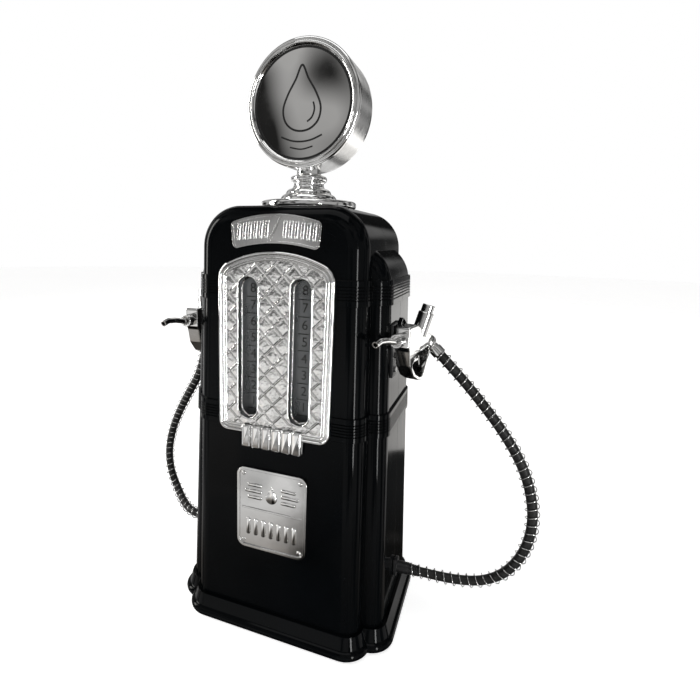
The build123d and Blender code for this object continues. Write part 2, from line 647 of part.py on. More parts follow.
def make_gland(side, sign):
    inner = gland_inner_x()
    outer = lobe_half_width(PLUMBING_Z) + 0.5
    axis = (sign, 0, 0)
    gland = rod((sign * (inner - GLAND_FLANGE_T), 0, PLUMBING_Z), axis, GLAND_FLANGE_T, GLAND_INNER_R)
    gland += rod((sign * (inner - 1), 0, PLUMBING_Z), axis, outer - inner + 2, GLAND_NECK_R)
    gland += rod((sign * outer, 0, PLUMBING_Z), axis, GLAND_FLANGE_T, GLAND_FLANGE_R)
    gland += rod((sign * outer, 0, PLUMBING_Z), axis, GLAND_OUTER_X - outer, GLAND_SLEEVE_R)
    gland += rod((sign * (inner - GLAND_BARB), 0, PLUMBING_Z), axis, GLAND_BARB, BARB_RADIUS)
    gland -= rod((sign * (inner - GLAND_BARB - 1), 0, PLUMBING_Z), axis, 60, BORE_RADIUS)
    keep("hose_gland_" + side, gland)


def make_stand():
    top = TANK_BOTTOM_Z
    low = SHELL_BOTTOM_Z
    half_x = TANK_OUTER_X
    stand = block_of(-half_x, half_x, TANK_FRONT_Y, TANK_BACK_Y, top - STAND_PLATE, top)
    for x in (-half_x, half_x - STAND_LEG):
        for y in (TANK_FRONT_Y, TANK_BACK_Y - STAND_LEG):
            stand += block_of(x, x + STAND_LEG, y, y + STAND_LEG, low, top)
    for sign in (-1, 1):
        stand -= rod((sign * OUTLET_X, 0, top - 10), (0, 0, 1), 20, OUTLET_FLANGE_R + 1.5)
    keep("tank_stand", stand)


# ---------------------------------------------------------------- hoses
def corner_radii(points):
    """Largest tangent radius that the two runs at each corner of a route allow."""
    radii = []
    for before, at, after in zip(points, points[1:], points[2:]):
        run_in = Vector(*at) - Vector(*before)
        run_out = Vector(*after) - Vector(*at)
        turn = math.radians(run_in.get_angle(run_out))
        shorter = min(run_in.length, run_out.length)
        radii.append(RUN_SHARE * shorter / math.tan(turn / 2))
    return radii


def ferrule_axis(side):
    """Centre of the swivel ball and the direction in which the hose leaves it."""
    ball = nozzle_place(side, BALL_POINT)
    return ball, (Vector(*SIDES[side]["route"][0]) - ball).normalized()


def hose_points(side):
    """Route from the ferrule's end face to the gland's end face."""
    ball, along = ferrule_axis(side)
    start = ball + along * FERRULE_REACH
    end = (SIDES[side]["sign"] * GLAND_OUTER_X, 0, PLUMBING_Z)
    return [tuple(start)] + SIDES[side]["route"] + [end]


def ring_sweep(points, outer, inner):
    """A tube of ring section along a route of runs and tangent arcs."""
    radii = corner_radii(points)
    path = FilletPolyline(*points, radius=radii)
    start = Plane(origin=points[0], z_dir=path % 0)
    face = start * (Circle(outer) - Circle(inner))
    tube = sweep(face, path=path)
    area = math.pi * (outer ** 2 - inner ** 2)
    return tube, path.length, tube.volume / (area * path.length), radii


def make_hose(side):
    points = hose_points(side)
    hose, length, ratio, radii = ring_sweep(points, HOSE_RADIUS, HOSE_BORE)
    guard, _, guard_ratio, _ = ring_sweep(points, GUARD_RADIUS, GUARD_INNER)
    keep("hose_" + side, hose)
    keep("hose_guard_" + side, guard)
    print(side, "hose length", round(length, 1))
    print(side, "volume ratios", round(ratio, 4), round(guard_ratio, 4))
    print(side, "hose radii", [round(r) for r in radii])


# ---------------------------------------------------------------- globe lid
def make_lid():
    flange = rod((0, 0, LID_BOTTOM_Z), (0, 0, 1), LID_TOP_Z - LID_BOTTOM_Z, LID_RADIUS)
    flange = flange.fillet(2.4, flange.edges().group_by(Axis.Z)[-1])
    flange = flange.fillet(1.6, flange.edges().group_by(Axis.Z)[0])
    plug_low = LID_BOTTOM_Z - LID_PLUG_DEPTH
    flange += rod((0, 0, plug_low), (0, 0, 1), LID_PLUG_DEPTH, LID_PLUG_R)
    flange -= rod((0, 0, plug_low - 1), (0, 0, 1), LID_PLUG_DEPTH - 1, LID_PLUG_R - 3)
    flange -= rod((0, 0, 300), (0, 0, 1), 100, BOLT_RADIUS + 0.1)
    keep("lid_flange", flange)
    gasket = rod((0, 0, BLOCK_TOP_Z), (0, 0, 1), LID_BOTTOM_Z - BLOCK_TOP_Z, GASKET_OUTER_R)
    gasket -= rod((0, 0, BLOCK_TOP_Z - 1), (0, 0, 1), 4, GASKET_INNER_R)
    keep("lid_gasket", gasket)
    with BuildPart() as stem:
        with BuildSketch(Plane.XZ):
            with BuildLine():
                Line((0, 0), (23.4, 0))
                ThreePointArc((23.4, 0), (22.6, 3.4), (19.6, 5.6))
                Line((19.6, 5.6), (18.8, 6.4))
                ThreePointArc((18.8, 6.4), (17.6, 8.6), (14.6, 10.0))
                ThreePointArc((14.6, 10.0), (12.5, 12.4), (13.0, 15.0))
                ThreePointArc((13.0, 15.0), (15.0, 17.6), (12.4, 20.2))
                Polyline((12.4, 20.2), (10.0, 21.2), (10.0, 26.0), (0, 26.0), (0, 0))
            make_face()
        revolve(axis=Axis.Z)
    ball = rod((0, -60, GLOBE_Z), (0, 1, 0), 120, GLOBE_RADIUS + 0.02)
    bolt_hole = rod((0, 0, 300), (0, 0, 1), 100, BOLT_RADIUS + 0.1)
    keep("globe_stem", Pos(0, 0, LID_TOP_Z) * stem.part - ball - bolt_hole)


def y_disc(radius, y0, y1):
    """Cylinder about the globe's axis between two values of y."""
    return rod((0, min(y0, y1), GLOBE_Z), (0, 1, 0), abs(y1 - y0), radius)


def make_globe():
    drum = y_disc(GLOBE_RADIUS, -DRUM_HALF_DEPTH, DRUM_HALF_DEPTH)
    drum -= y_disc(GLOBE_RADIUS - DRUM_WALL, -DRUM_HALF_DEPTH - 1, DRUM_HALF_DEPTH + 1)
    boss_top = GLOBE_Z - GLOBE_RADIUS + 12
    boss = block_of(-8, 8, -8, 8, GLOBE_Z - GLOBE_RADIUS + 1, boss_top)
    drum += boss & y_disc(GLOBE_RADIUS - 0.5, -20, 20)
    drum -= rod((0, 0, GLOBE_Z - GLOBE_RADIUS - 2), (0, 0, 1), 12, BOLT_RADIUS - 0.02)
    keep("globe_drum", drum)
    bolt_low = LID_BOTTOM_Z - 2
    bolt = rod((0, 0, bolt_low), (0, 0, 1), GLOBE_Z - GLOBE_RADIUS + 9 - bolt_low, BOLT_RADIUS - FIT)
    bolt += rod((0, 0, bolt_low - BOLT_HEAD_T), (0, 0, 1), BOLT_HEAD_T, BOLT_HEAD_R)
    keep("globe_bolt", bolt)
    front = DRUM_HALF_DEPTH + BEZEL_DEPTH
    for name, sign in (("front", -1), ("back", 1)):
        profile = [
            (BEZEL_OPENING_R, FACE_SEAT), (FACE_RADIUS + 0.2, FACE_SEAT),
            (FACE_RADIUS + 0.2, DRUM_HALF_DEPTH), (GLOBE_RADIUS, DRUM_HALF_DEPTH),
            (GLOBE_RADIUS, front - 3.4), (GLOBE_RADIUS - 1.2, front - 1.8),
            (GLOBE_RADIUS - 2.0, front - 1.8), (GLOBE_RADIUS - 2.2, front - 0.8),
            (GLOBE_RADIUS - 3.4, front), (GLOBE_RADIUS - 4.2, front - 0.6),
            (BEZEL_OPENING_R, FACE_SEAT + 0.8),
        ]
        with BuildPart() as ring:
            with BuildSketch(Plane.XY):
                with BuildLine():
                    Polyline(*[(r, sign * y) for r, y in profile], close=True)
                make_face()
            revolve(axis=Axis.Y)
        keep("globe_bezel_" + name, Pos(0, 0, GLOBE_Z) * ring.part)
        disc = y_disc(FACE_RADIUS, sign * (FACE_SEAT - FACE_THICKNESS), sign * FACE_SEAT)
        keep("globe_face_" + name, disc)


# ---------------------------------------------------------------- nozzles and holsters
def nozzle_place(side, shape):
    """Move a shape or a point from the nozzle's frame to its place on one side."""
    data = SIDES[side]
    place = Pos(*data["origin"]) * Rot(0, 0, -data["sign"] * data["turn"])
    if isinstance(shape, tuple):
        local = Vector(data["sign"] * shape[0], shape[1], shape[2])
        return (place * Pos(*tuple(local))).position
    if data["sign"] < 0:
        shape = mirror(shape, about=Plane.YZ)
    return place * shape


def nozzle_profile():
    """Side view of the casting: body above, guard loop below, with its finger opening."""
    outer = [(7, 9.6), (21, 10.2), (28, 7.2), (47, -0.4), (50.4, -4), (48.8, -15), (40.6, -33),
             (35.5, -36), (29, -35.2), (19.5, -30.5), (11.5, -21.5), (8.6, -9), (7, -6)]
    opening = [(45, -9.4), (24, -12.6), (15.4, -21.4), (22.5, -29), (31, -33), (36.0, -33.2),
               (38.4, -30.5), (46.2, -14)]
    return outer, opening


def make_nozzle(side):
    half = NOZZLE_HALF_WIDTH
    outer, opening = nozzle_profile()
    with BuildPart() as casting:
        with BuildSketch(Plane.YZ) as outline:
            with BuildLine():
                Polyline(*outer, close=True)
            make_face()
            fillet(outline.vertices(), 1.6)
        extrude(amount=half, both=True)
        sides = casting.faces().filter_by(Axis.X)
        fillet(sides.edges(), 1.0)
        with BuildSketch(Plane.YZ) as gap:
            with BuildLine():
                Polyline(*opening, close=True)
            make_face()
            fillet(gap.vertices(), 1.4)
        extrude(amount=2 * half, both=True, mode=Mode.SUBTRACT)
    body = casting.part
    pivot_y, pivot_z = TRIGGER_PIVOT
    slot_half = TRIGGER_HALF_WIDTH + TRIGGER_SIDE_GAP
    body -= block_of(-slot_half, slot_half, pivot_y - 5, pivot_y + 5, pivot_z - 12, pivot_z + 3.2)
    body -= rod((-20, pivot_y, pivot_z), (1, 0, 0), 40, TRIGGER_PIN_R + 0.02)
    body -= rod(BARREL_SEAT, BARREL_LEAN, 40, BARREL_RADIUS + 0.05)
    body -= Pos(*BALL_POINT) * Sphere(ELBOW_RADIUS + 0.05)
    placed = nozzle_place(side, body)
    centre, along = ferrule_axis(side)
    placed -= rod(tuple(centre), tuple(along), 30, FERRULE_RADIUS + 0.3)
    keep("nozzle_body_" + side, placed)

    barrel = rod(BARREL_SEAT, BARREL_LEAN, BARREL_LENGTH, BARREL_RADIUS)
    barrel = barrel.fillet(0.9, barrel.edges().sort_by(Axis.Z)[-1:])
    keep("valve_barrel_" + side, nozzle_place(side, barrel))
    cap_seat = Vector(*BARREL_SEAT) + Vector(*BARREL_LEAN).normalized() * BARREL_LENGTH
    cap = rod(tuple(cap_seat), BARREL_LEAN, CAP_LENGTH, CAP_RADIUS)
    cap = cap.fillet(0.7, cap.edges().sort_by(Axis.Z)[-1:])
    keep("valve_cap_" + side, nozzle_place(side, cap))

    spout_line = FilletPolyline((0, NUT_BACK_Y, 0), (0, -4, 0), (0, -18, 2.8), (0, -28, 3.7),
                                (0, -34, 2.1), radius=[30, 40, 14])
    start = Plane(origin=(0, NUT_BACK_Y, 0), z_dir=(0, -1, 0))
    spout = sweep(start * (Circle(SPOUT_RADIUS) - Circle(SPOUT_BORE)), path=spout_line)
    keep("spout_" + side, nozzle_place(side, spout))
    nut_front = NUT_BACK_Y - NUT_LENGTH
    collar = rod((0, nut_front - COLLAR_LENGTH, 0), (0, 1, 0), COLLAR_LENGTH, COLLAR_RADIUS)
    collar -= rod((0, nut_front - COLLAR_LENGTH - 1, 0), (0, 1, 0), 5.0, COLLAR_RADIUS - COLLAR_WALL)
    collar -= rod((0, -8, 0), (0, 1, 0), 20, SPOUT_RADIUS + FIT)
    keep("spout_collar_" + side, nozzle_place(side, collar))
    with BuildPart() as hexagon:
        with BuildSketch(Plane.XZ.offset(-NUT_BACK_Y)):
            RegularPolygon(NUT_RADIUS, 6)
        extrude(amount=NUT_LENGTH)
    nut = hexagon.part - rod((0, 0, 0), (0, 1, 0), 12, SPOUT_RADIUS + FIT)
    keep("spout_nut_" + side, nozzle_place(side, nut))

    reach = ELBOW_RADIUS + ELBOW_NECK
    elbow = Sphere(ELBOW_RADIUS) + Pos(0, 0, reach / 2) * Cylinder(ELBOW_NECK_R, reach)
    keep("swivel_elbow_" + side, Plane(origin=tuple(centre), z_dir=tuple(along)) * elbow)
    seat = centre + along * reach
    ferrule = rod(tuple(seat), tuple(along), FERRULE_REACH - reach, FERRULE_RADIUS)
    ferrule -= rod(tuple(seat), tuple(along), 20, HOSE_BORE)
    keep("hose_ferrule_" + side, ferrule)

    eye = (-TRIGGER_HALF_WIDTH, pivot_y, pivot_z)
    lever = rod(eye, (1, 0, 0), 2 * TRIGGER_HALF_WIDTH, TRIGGER_EYE_R)
    with BuildPart() as blade:
        with BuildSketch(Plane.YZ):
            with BuildLine():
                Polyline((34.6, -12.0), (38.4, -24.4), (36.8, -25.2), (34.2, -20.0), (24.4, -20.9),
                         (23.2, -19.4), (31.4, -12.6), close=True)
            make_face()
            with BuildLine():
                Polyline((33.2, -15.2), (34.4, -18.4), (29.0, -18.9), close=True)
            make_face(mode=Mode.SUBTRACT)
        extrude(amount=TRIGGER_HALF_WIDTH, both=True)
    lever += blade.part
    lever -= rod((-10, pivot_y, pivot_z), (1, 0, 0), 20, TRIGGER_PIN_R + 0.05)
    keep("trigger_" + side, nozzle_place(side, lever))
    pin = rod((-half + 0.4, pivot_y, pivot_z), (1, 0, 0), 2 * half - 0.8, TRIGGER_PIN_R)
    keep("trigger_pin_" + side, nozzle_place(side, pin))

    inner = -half
    far = inner - POCKET_GAP - POCKET_WALL - HOOK_CLEARANCE - HOOK_THICKNESS
    bridge_z = POCKET_TOP + HOOK_CLEARANCE
    with BuildPart() as hook:
        with BuildSketch(Plane.YZ):
            with BuildLine():
                Polyline((HOOK_Y - HOOK_FOOT_HALF, bridge_z), (HOOK_Y + HOOK_FOOT_HALF, bridge_z),
                         (HOOK_Y - 1.0, HOOK_TOP_Z), close=True)
            make_face()
        extrude(amount=-far)
    bridge = hook.part.mirror(Plane.YZ) & block_of(far, inner, 0, 40, 0, 40)
    tongue = block_of(far, far + HOOK_THICKNESS, HOOK_Y - HOOK_HALF, HOOK_Y + HOOK_HALF,
                      HOOK_LOW_Z, POCKET_TOP + 1.5)
    keep("nozzle_hook_" + side, nozzle_place(side, bridge + tongue))


def side_prism(sign, near, far, y0, y1, z0, z1):
    """Plate along the lobe's sloping side face, between two distances from that face."""
    corners = []
    for distance, level in ((near, z0), (far, z0), (far, z1), (near, z1)):
        wall = 0 if distance is None else lobe_half_width(level) + distance
        corners.append((sign * wall, level))
    with BuildPart() as prism:
        with BuildSketch(Plane.XZ.offset(-y1)):
            with BuildLine():
                Polyline(*corners, close=True)
            make_face()
        extrude(amount=y1 - y0)
    return prism.part


def holster_places(sign):
    """Screw positions on the holster plate, as points on the wall."""
    spots = []
    for rise in HOLSTER_SCREW_RISES:
        z = HOLSTER_LOW_Z + rise
        spots.append((sign * lobe_half_width(z), HOLSTER_FRONT_Y + 9, z))
    return spots


def make_holster(side):
    sign = SIDES[side]["sign"]
    plate = side_prism(sign, HOLSTER_SEAT, HOLSTER_PLATE, HOLSTER_FRONT_Y, HOLSTER_BACK_Y,
                       HOLSTER_LOW_Z, HOLSTER_HIGH_Z)
    face = -NOZZLE_HALF_WIDTH - POCKET_GAP
    reach = POCKET_WALL + 2 * HOOK_CLEARANCE + HOOK_THICKNESS
    width = HOOK_HALF + HOOK_CLEARANCE
    box = block_of(face, face - 20, HOOK_Y - width - POCKET_WALL, HOOK_Y + width + POCKET_WALL,
                   POCKET_LOW_Z, POCKET_TOP)
    cavity = block_of(face - POCKET_WALL, face - reach, HOOK_Y - width, HOOK_Y + width,
                      HOOK_LOW_Z - HOOK_CLEARANCE, 40)
    holster = plate + nozzle_place(side, box) - nozzle_place(side, cavity)
    holster -= side_prism(sign, None, HOLSTER_SEAT, -60, 60, HOLSTER_LOW_Z - 40, HOLSTER_HIGH_Z + 20)
    for spot in holster_places(sign):
        holster -= rod(spot, (sign, 0, LOBE_SIDE_SLOPE), 30, HOLSTER_SCREW_R + FIT)
    keep("holster_" + side, holster)


def make_holster_screws():
    screws = []
    for side in SIDES:
        sign = SIDES[side]["sign"]
        axis = Vector(sign, 0, LOBE_SIDE_SLOPE).normalized()
        for x, y, z in holster_places(sign):
            spot = Vector(x, y, z)
            seat = spot + axis * (HOLSTER_PLATE + 0.02)
            head = rod(tuple(seat), tuple(axis), 1.0, HOLSTER_SCREW_HEAD_R)
            shank = rod(tuple(spot + axis * 0.2), tuple(axis), HOLSTER_PLATE + 0.4, HOLSTER_SCREW_R)
            screws.append(head + shank)
    keep("holster_screws", Compound(screws))


# ---------------------------------------------------------------- build and write
make_shells()
make_shell_screws()
make_plinth()
make_tray()
make_faceplate()
make_badge()
make_nameplate()
make_stand()
make_lid()
make_globe()
for side_name, side_data in SIDES.items():
    make_tank(side_name, side_data["sign"])
    make_outlet(side_name, side_data["sign"])
    make_gland(side_name, side_data["sign"])
    make_nozzle(side_name)
    make_holster(side_name)
    make_hose(side_name)
make_holster_screws()

os.makedirs("parts", exist_ok=True)
for node_name, node_shape in NODES.items():
    export_step(node_shape, "parts/" + node_name + ".step")
print(len(NODES), "nodes")
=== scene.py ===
import json
import math

import bmesh
import bpy
from mathutils import Matrix, Vector


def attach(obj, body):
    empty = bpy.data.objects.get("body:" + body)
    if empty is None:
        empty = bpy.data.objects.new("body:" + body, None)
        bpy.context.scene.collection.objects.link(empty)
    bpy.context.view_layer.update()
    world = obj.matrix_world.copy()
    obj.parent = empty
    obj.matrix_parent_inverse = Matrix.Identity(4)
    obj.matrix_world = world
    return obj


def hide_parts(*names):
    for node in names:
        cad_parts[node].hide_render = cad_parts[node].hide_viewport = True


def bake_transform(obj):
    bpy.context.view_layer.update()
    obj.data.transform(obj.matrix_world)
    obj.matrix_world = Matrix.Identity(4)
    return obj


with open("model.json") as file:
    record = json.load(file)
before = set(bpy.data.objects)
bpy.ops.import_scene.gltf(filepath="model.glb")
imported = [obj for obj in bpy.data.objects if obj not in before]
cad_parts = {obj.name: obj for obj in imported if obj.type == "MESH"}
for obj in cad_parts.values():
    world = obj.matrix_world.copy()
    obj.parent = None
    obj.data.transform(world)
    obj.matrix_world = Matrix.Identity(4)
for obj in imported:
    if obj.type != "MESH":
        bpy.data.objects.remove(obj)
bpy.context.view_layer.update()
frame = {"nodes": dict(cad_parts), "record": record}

MM = 0.001
NODES = frame["nodes"]
SIDES = {"right": 1, "left": -1}


# ---------------------------------------------------------------- small helpers
def collect(name, mesh):
    """Link a mesh into the scene as a named object."""
    obj = bpy.data.objects.new(name, mesh)
    bpy.context.scene.collection.objects.link(obj)
    return obj


def mesh_object(name, points, faces, smooth=40):
    """Object from points in millimetres, smooth where faces meet at less than an angle."""
    mesh = bpy.data.meshes.new(name)
    mesh.from_pydata([Vector(p) * MM for p in points], [], faces)
    tidy_mesh(mesh, smooth)
    return collect(name, mesh)


def tidy_mesh(mesh, smooth):
    """Merge doubles, face outwards and shade smooth up to an angle."""
    work = bmesh.new()
    work.from_mesh(mesh)
    bmesh.ops.remove_doubles(work, verts=work.verts, dist=1e-6)
    bmesh.ops.recalc_face_normals(work, faces=work.faces)
    work.to_mesh(mesh)
    work.free()
    mesh.shade_smooth()
    mesh.set_sharp_from_angle(angle=math.radians(smooth))


def finish_piece(obj, body, slot, material, *replaced):
    """Material, replaced CAD nodes and the body; the slot is not used, and a piece given two bodies is
    only fixed in place.
    """
    obj.data.materials.clear()
    obj.data.materials.append(material)
    if isinstance(body, str):
        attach(obj, body)
    else:
        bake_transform(obj)
    if replaced:
        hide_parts(*replaced)
    return obj


# ---------------------------------------------------------------- materials
class Graph:
    """Short names for building one node material."""

    def __init__(self, name):
        self.material = bpy.data.materials.new(name)
        self.material.use_nodes = True
        self.tree = self.material.node_tree
        self.shader = self.tree.nodes["Principled BSDF"]
        self.coords = self.node("ShaderNodeTexCoord").outputs["Object"]

    def node(self, kind, **settings):
        made = self.tree.nodes.new(kind)
        for key, value in settings.items():
            if hasattr(made, key):
                setattr(made, key, value)
            else:
                made.inputs[key].default_value = value
        return made

    def link(self, source, target):
        self.tree.links.new(source, target)

    def noise(self, scale, detail=3.0, roughness=0.55, stretch=None):
        made = self.node("ShaderNodeTexNoise")
        made.inputs["Scale"].default_value = scale
        made.inputs["Detail"].default_value = detail
        made.inputs["Roughness"].default_value = roughness
        vector = self.coords
        if stretch:
            mapping = self.node("ShaderNodeMapping")
            mapping.inputs["Scale"].default_value = stretch
            self.link(vector, mapping.inputs["Vector"])
            vector = mapping.outputs["Vector"]
        self.link(vector, made.inputs["Vector"])
        return made.outputs["Fac"]

    def ramp(self, source, stops):
        made = self.node("ShaderNodeValToRGB")
        elements = made.color_ramp.elements
        while len(elements) < len(stops):
            elements.new(0.5)
        for element, (position, value) in zip(elements, stops):
            element.position = position
            element.color = value if isinstance(value, tuple) else (value, value, value, 1)
        self.link(source, made.inputs["Fac"])
        return made.outputs["Color"]

    def bump(self, height, strength, distance, before=None):
        made = self.node("ShaderNodeBump")
        made.inputs["Strength"].default_value = strength
        made.inputs["Distance"].default_value = distance
        self.link(height, made.inputs["Height"])
        if before:
            self.link(before, made.inputs["Normal"])
        return made.outputs["Normal"]

    def round_edges(self, radius):
        made = self.node("ShaderNodeBevel", samples=4)
        made.inputs["Radius"].default_value = radius
        return made.outputs["Normal"]

    def set(self, **values):
        for key, value in values.items():
            self.shader.inputs[key.replace("_", " ")].default_value = value

    def use(self, source, socket):
        self.link(source, self.shader.inputs[socket])


def black_gloss():
    """Piano-black moulding: deep colour, faint flow waves and handling haze."""
    g = Graph("black_gloss_abs")
    colour = g.ramp(g.noise(9, 4), [(0.35, (0.0012, 0.0015, 0.0018, 1)),
                                    (0.7, (0.0022, 0.0027, 0.0032, 1))])
    g.use(colour, "Base Color")
    haze = g.ramp(g.noise(26, 5, 0.6), [(0.38, 0.06), (0.62, 0.10), (0.8, 0.16)])
    g.use(haze, "Roughness")
    g.set(Specular_IOR_Level=0.07)
    g.use(g.bump(g.noise(14, 2, 0.4), 0.12, 0.0009, g.round_edges(0.0006)), "Normal")
    return g.material


def chrome(name, tone=0.86, low=0.03, high=0.10, wave=0.10, edge=0.0004):
    """Bright plating over moulded plastic: small ripples, cloudy patches and fine wipe marks."""
    g = Graph(name)
    colour = g.ramp(g.noise(40, 4), [(0.3, (tone * 0.93, tone * 0.93, tone * 0.92, 1)),
                                     (0.7, (tone, tone, tone * 0.995, 1))])
    g.use(colour, "Base Color")
    g.set(Metallic=1.0)
    g.use(g.ramp(g.noise(120, 5, 0.65), [(0.35, low), (0.7, high)]), "Roughness")
    ripple = g.bump(g.noise(55, 2, 0.4), wave, 0.0006, g.round_edges(edge))
    wipe = g.bump(g.noise(700, 2, 0.5, (1, 1, 0.12)), 0.02, 0.0001, ripple)
    g.use(wipe, "Normal")
    return g.material


def hammered_chrome():
    """Plating with a pebbled, frosted-glass-like surface."""
    g = Graph("hammered_chrome")
    colour = g.ramp(g.noise(60, 3), [(0.3, (0.80, 0.80, 0.79, 1)),
                                     (0.7, (0.90, 0.90, 0.89, 1))])
    g.use(colour, "Base Color")
    g.set(Metallic=1.0)
    g.use(g.ramp(g.noise(300, 3), [(0.35, 0.07), (0.7, 0.17)]), "Roughness")
    pebble = g.node("ShaderNodeTexVoronoi", feature="SMOOTH_F1")
    pebble.inputs["Scale"].default_value = 420
    g.link(g.coords, pebble.inputs["Vector"])
    first = g.bump(g.noise(230, 3, 0.6), 0.55, 0.0009)
    g.use(g.bump(pebble.outputs["Distance"], 0.22, 0.0005, first), "Normal")
    return g.material


def mirror():
    """Flat mirror-plated disc, slightly warm, with light smears."""
    g = Graph("mirror_disc")
    colour = g.ramp(g.noise(18, 3), [(0.3, (0.76, 0.755, 0.74, 1)),
                                     (0.7, (0.84, 0.835, 0.825, 1))])
    g.use(colour, "Base Color")
    g.set(Metallic=1.0)
    g.use(g.ramp(g.noise(45, 5, 0.6), [(0.4, 0.012), (0.75, 0.07)]), "Roughness")
    g.use(g.bump(g.noise(16, 1, 0.3), 0.05, 0.0005), "Normal")
    return g.material


def printed_black():
    """Ink: slightly uneven gloss."""
    g = Graph("printed_black")
    colour = g.ramp(g.noise(200, 3), [(0.3, (0.004, 0.004, 0.004, 1)),
                                      (0.7, (0.012, 0.012, 0.012, 1))])
    g.use(colour, "Base Color")
    g.use(g.ramp(g.noise(150, 3), [(0.3, 0.25), (0.7, 0.4)]), "Roughness")
    g.use(g.bump(g.noise(1200, 2), 0.08, 0.0001), "Normal")
    return g.material


def rubber():
    """Extruded rubber hose: matt, faint lengthwise streaks and dust."""
    g = Graph("hose_rubber")
    colour = g.ramp(g.noise(180, 5, 0.6), [(0.35, (0.006, 0.006, 0.006, 1)),
                                           (0.75, (0.022, 0.022, 0.021, 1))])
    g.use(colour, "Base Color")
    g.use(g.ramp(g.noise(90, 4), [(0.3, 0.38), (0.7, 0.6)]), "Roughness")
    g.set(Specular_IOR_Level=0.4, Sheen_Weight=0.08, Sheen_Roughness=0.4)
    g.use(g.bump(g.noise(1500, 3), 0.18, 0.0002), "Normal")
    return g.material


def satin_black(name="satin_black_plastic", low=0.32, high=0.48):
    """Textured black plastic with a fine spark finish."""
    g = Graph(name)
    colour = g.ramp(g.noise(60, 4), [(0.3, (0.008, 0.0085, 0.009, 1)),
                                     (0.7, (0.018, 0.018, 0.019, 1))])
    g.use(colour, "Base Color")
    g.use(g.ramp(g.noise(140, 3), [(0.3, low), (0.7, high)]), "Roughness")
    g.use(g.bump(g.noise(1300, 2), 0.14, 0.0002, g.round_edges(0.0004)), "Normal")
    return g.material


def steel():
    """Zinc-plated screw: brushed, slightly dull."""
    g = Graph("zinc_steel")
    colour = g.ramp(g.noise(240, 4), [(0.3, (0.42, 0.42, 0.42, 1)),
                                      (0.7, (0.6, 0.6, 0.59, 1))])
    g.use(colour, "Base Color")
    g.set(Metallic=1.0)
    g.use(g.ramp(g.noise(400, 3), [(0.3, 0.22), (0.7, 0.4)]), "Roughness")
    g.use(g.bump(g.noise(900, 2, 0.5, (1, 1, 0.1)), 0.1, 0.0001), "Normal")
    return g.material


def spring_wire():
    """Drawn bright wire with fine draw lines."""
    g = Graph("bright_wire")
    colour = g.ramp(g.noise(500, 3), [(0.3, (0.62, 0.62, 0.62, 1)),
                                      (0.7, (0.8, 0.8, 0.79, 1))])
    g.use(colour, "Base Color")
    g.set(Metallic=1.0)
    g.use(g.ramp(g.noise(300, 3), [(0.3, 0.12), (0.7, 0.28)]), "Roughness")
    g.use(g.bump(g.noise(2500, 2), 0.08, 0.0001), "Normal")
    return g.material


def smoky_clear():
    """Smoky clear tank wall with moulding ripples and faint scuffs."""
    g = Graph("smoky_clear")
    colour = g.ramp(g.noise(30, 3), [(0.3, (0.16, 0.17, 0.175, 1)),
                                     (0.7, (0.26, 0.27, 0.275, 1))])
    g.use(colour, "Base Color")
    g.set(Transmission_Weight=0.55, IOR=1.49)
    g.use(g.ramp(g.noise(70, 5, 0.6), [(0.4, 0.04), (0.8, 0.16)]), "Roughness")
    g.use(g.bump(g.noise(40, 2, 0.4), 0.14, 0.0008), "Normal")
    return g.material


def milky_tube():
    """Translucent soft tube."""
    g = Graph("milky_tube")
    colour = g.ramp(g.noise(120, 3), [(0.3, (0.55, 0.56, 0.55, 1)),
                                      (0.7, (0.7, 0.71, 0.7, 1))])
    g.use(colour, "Base Color")
    g.set(Transmission_Weight=0.4)
    g.use(g.ramp(g.noise(90, 3), [(0.3, 0.25), (0.7, 0.4)]), "Roughness")
    g.use(g.bump(g.noise(600, 2), 0.06, 0.0001), "Normal")
    return g.material


def pale_floor():
    """Plain pale sweep."""
    g = Graph("pale_floor")
    colour = g.ramp(g.noise(2, 2), [(0.3, (0.90, 0.90, 0.90, 1)),
                                    (0.7, (0.93, 0.93, 0.93, 1))])
    g.use(colour, "Base Color")
    g.set(Specular_IOR_Level=0.0, Emission_Color=(1, 1, 1, 1), Emission_Strength=0.78)
    g.use(g.ramp(g.noise(5, 2), [(0.3, 0.55), (0.7, 0.7)]), "Roughness")
    return g.material


GLOSS = black_gloss()
CHROME = chrome("bright_chrome")
CAST_CHROME = chrome("cast_chrome", tone=0.82, low=0.05, high=0.16, wave=0.22)
SATIN_CHROME = chrome("satin_chrome", tone=0.74, low=0.16, high=0.28, wave=0.08)
HAMMERED = hammered_chrome()
MIRROR = mirror()
INK = printed_black()
RUBBER = rubber()
SATIN = satin_black()
STEEL = steel()
WIRE = spring_wire()
CLEAR = smoky_clear()
MILKY = milky_tube()

CAD_MATERIALS = {
    "black_shell": GLOSS, "chrome_trim": CHROME, "mirror_face": MIRROR, "clear_tank": CLEAR,
    "black_plastic": SATIN, "rubber": RUBBER, "guard_wire": WIRE, "steel": STEEL, "clear_tube": MILKY,
}


def dress_cad():
    """Give every CAD node the material of its record slot."""
    slots = {part["node"]: part["material_slot"] for part in frame["record"]["subparts"]}
    for name, obj in NODES.items():
        obj.data.materials.clear()
        obj.data.materials.append(CAD_MATERIALS[slots[name]])
        if name.startswith("nozzle_body") or name.startswith("swivel"):
            obj.data.materials[0] = CAST_CHROME
        if name == "globe_drum":
            obj.data.materials[0] = SATIN_CHROME


# ---------------------------------------------------------------- camera, floor, light
CAMERA_PLACE = (154.56, -392.55, 331.29)
CAMERA_TURN = 21.888
CAMERA_PITCH = 13.369
CAMERA_ROLL = 1.03
FOCAL_OVER_WIDTH = 485.64 / 700
SENSOR = 36.0
SHIFT = (0.0686, 0.0105)


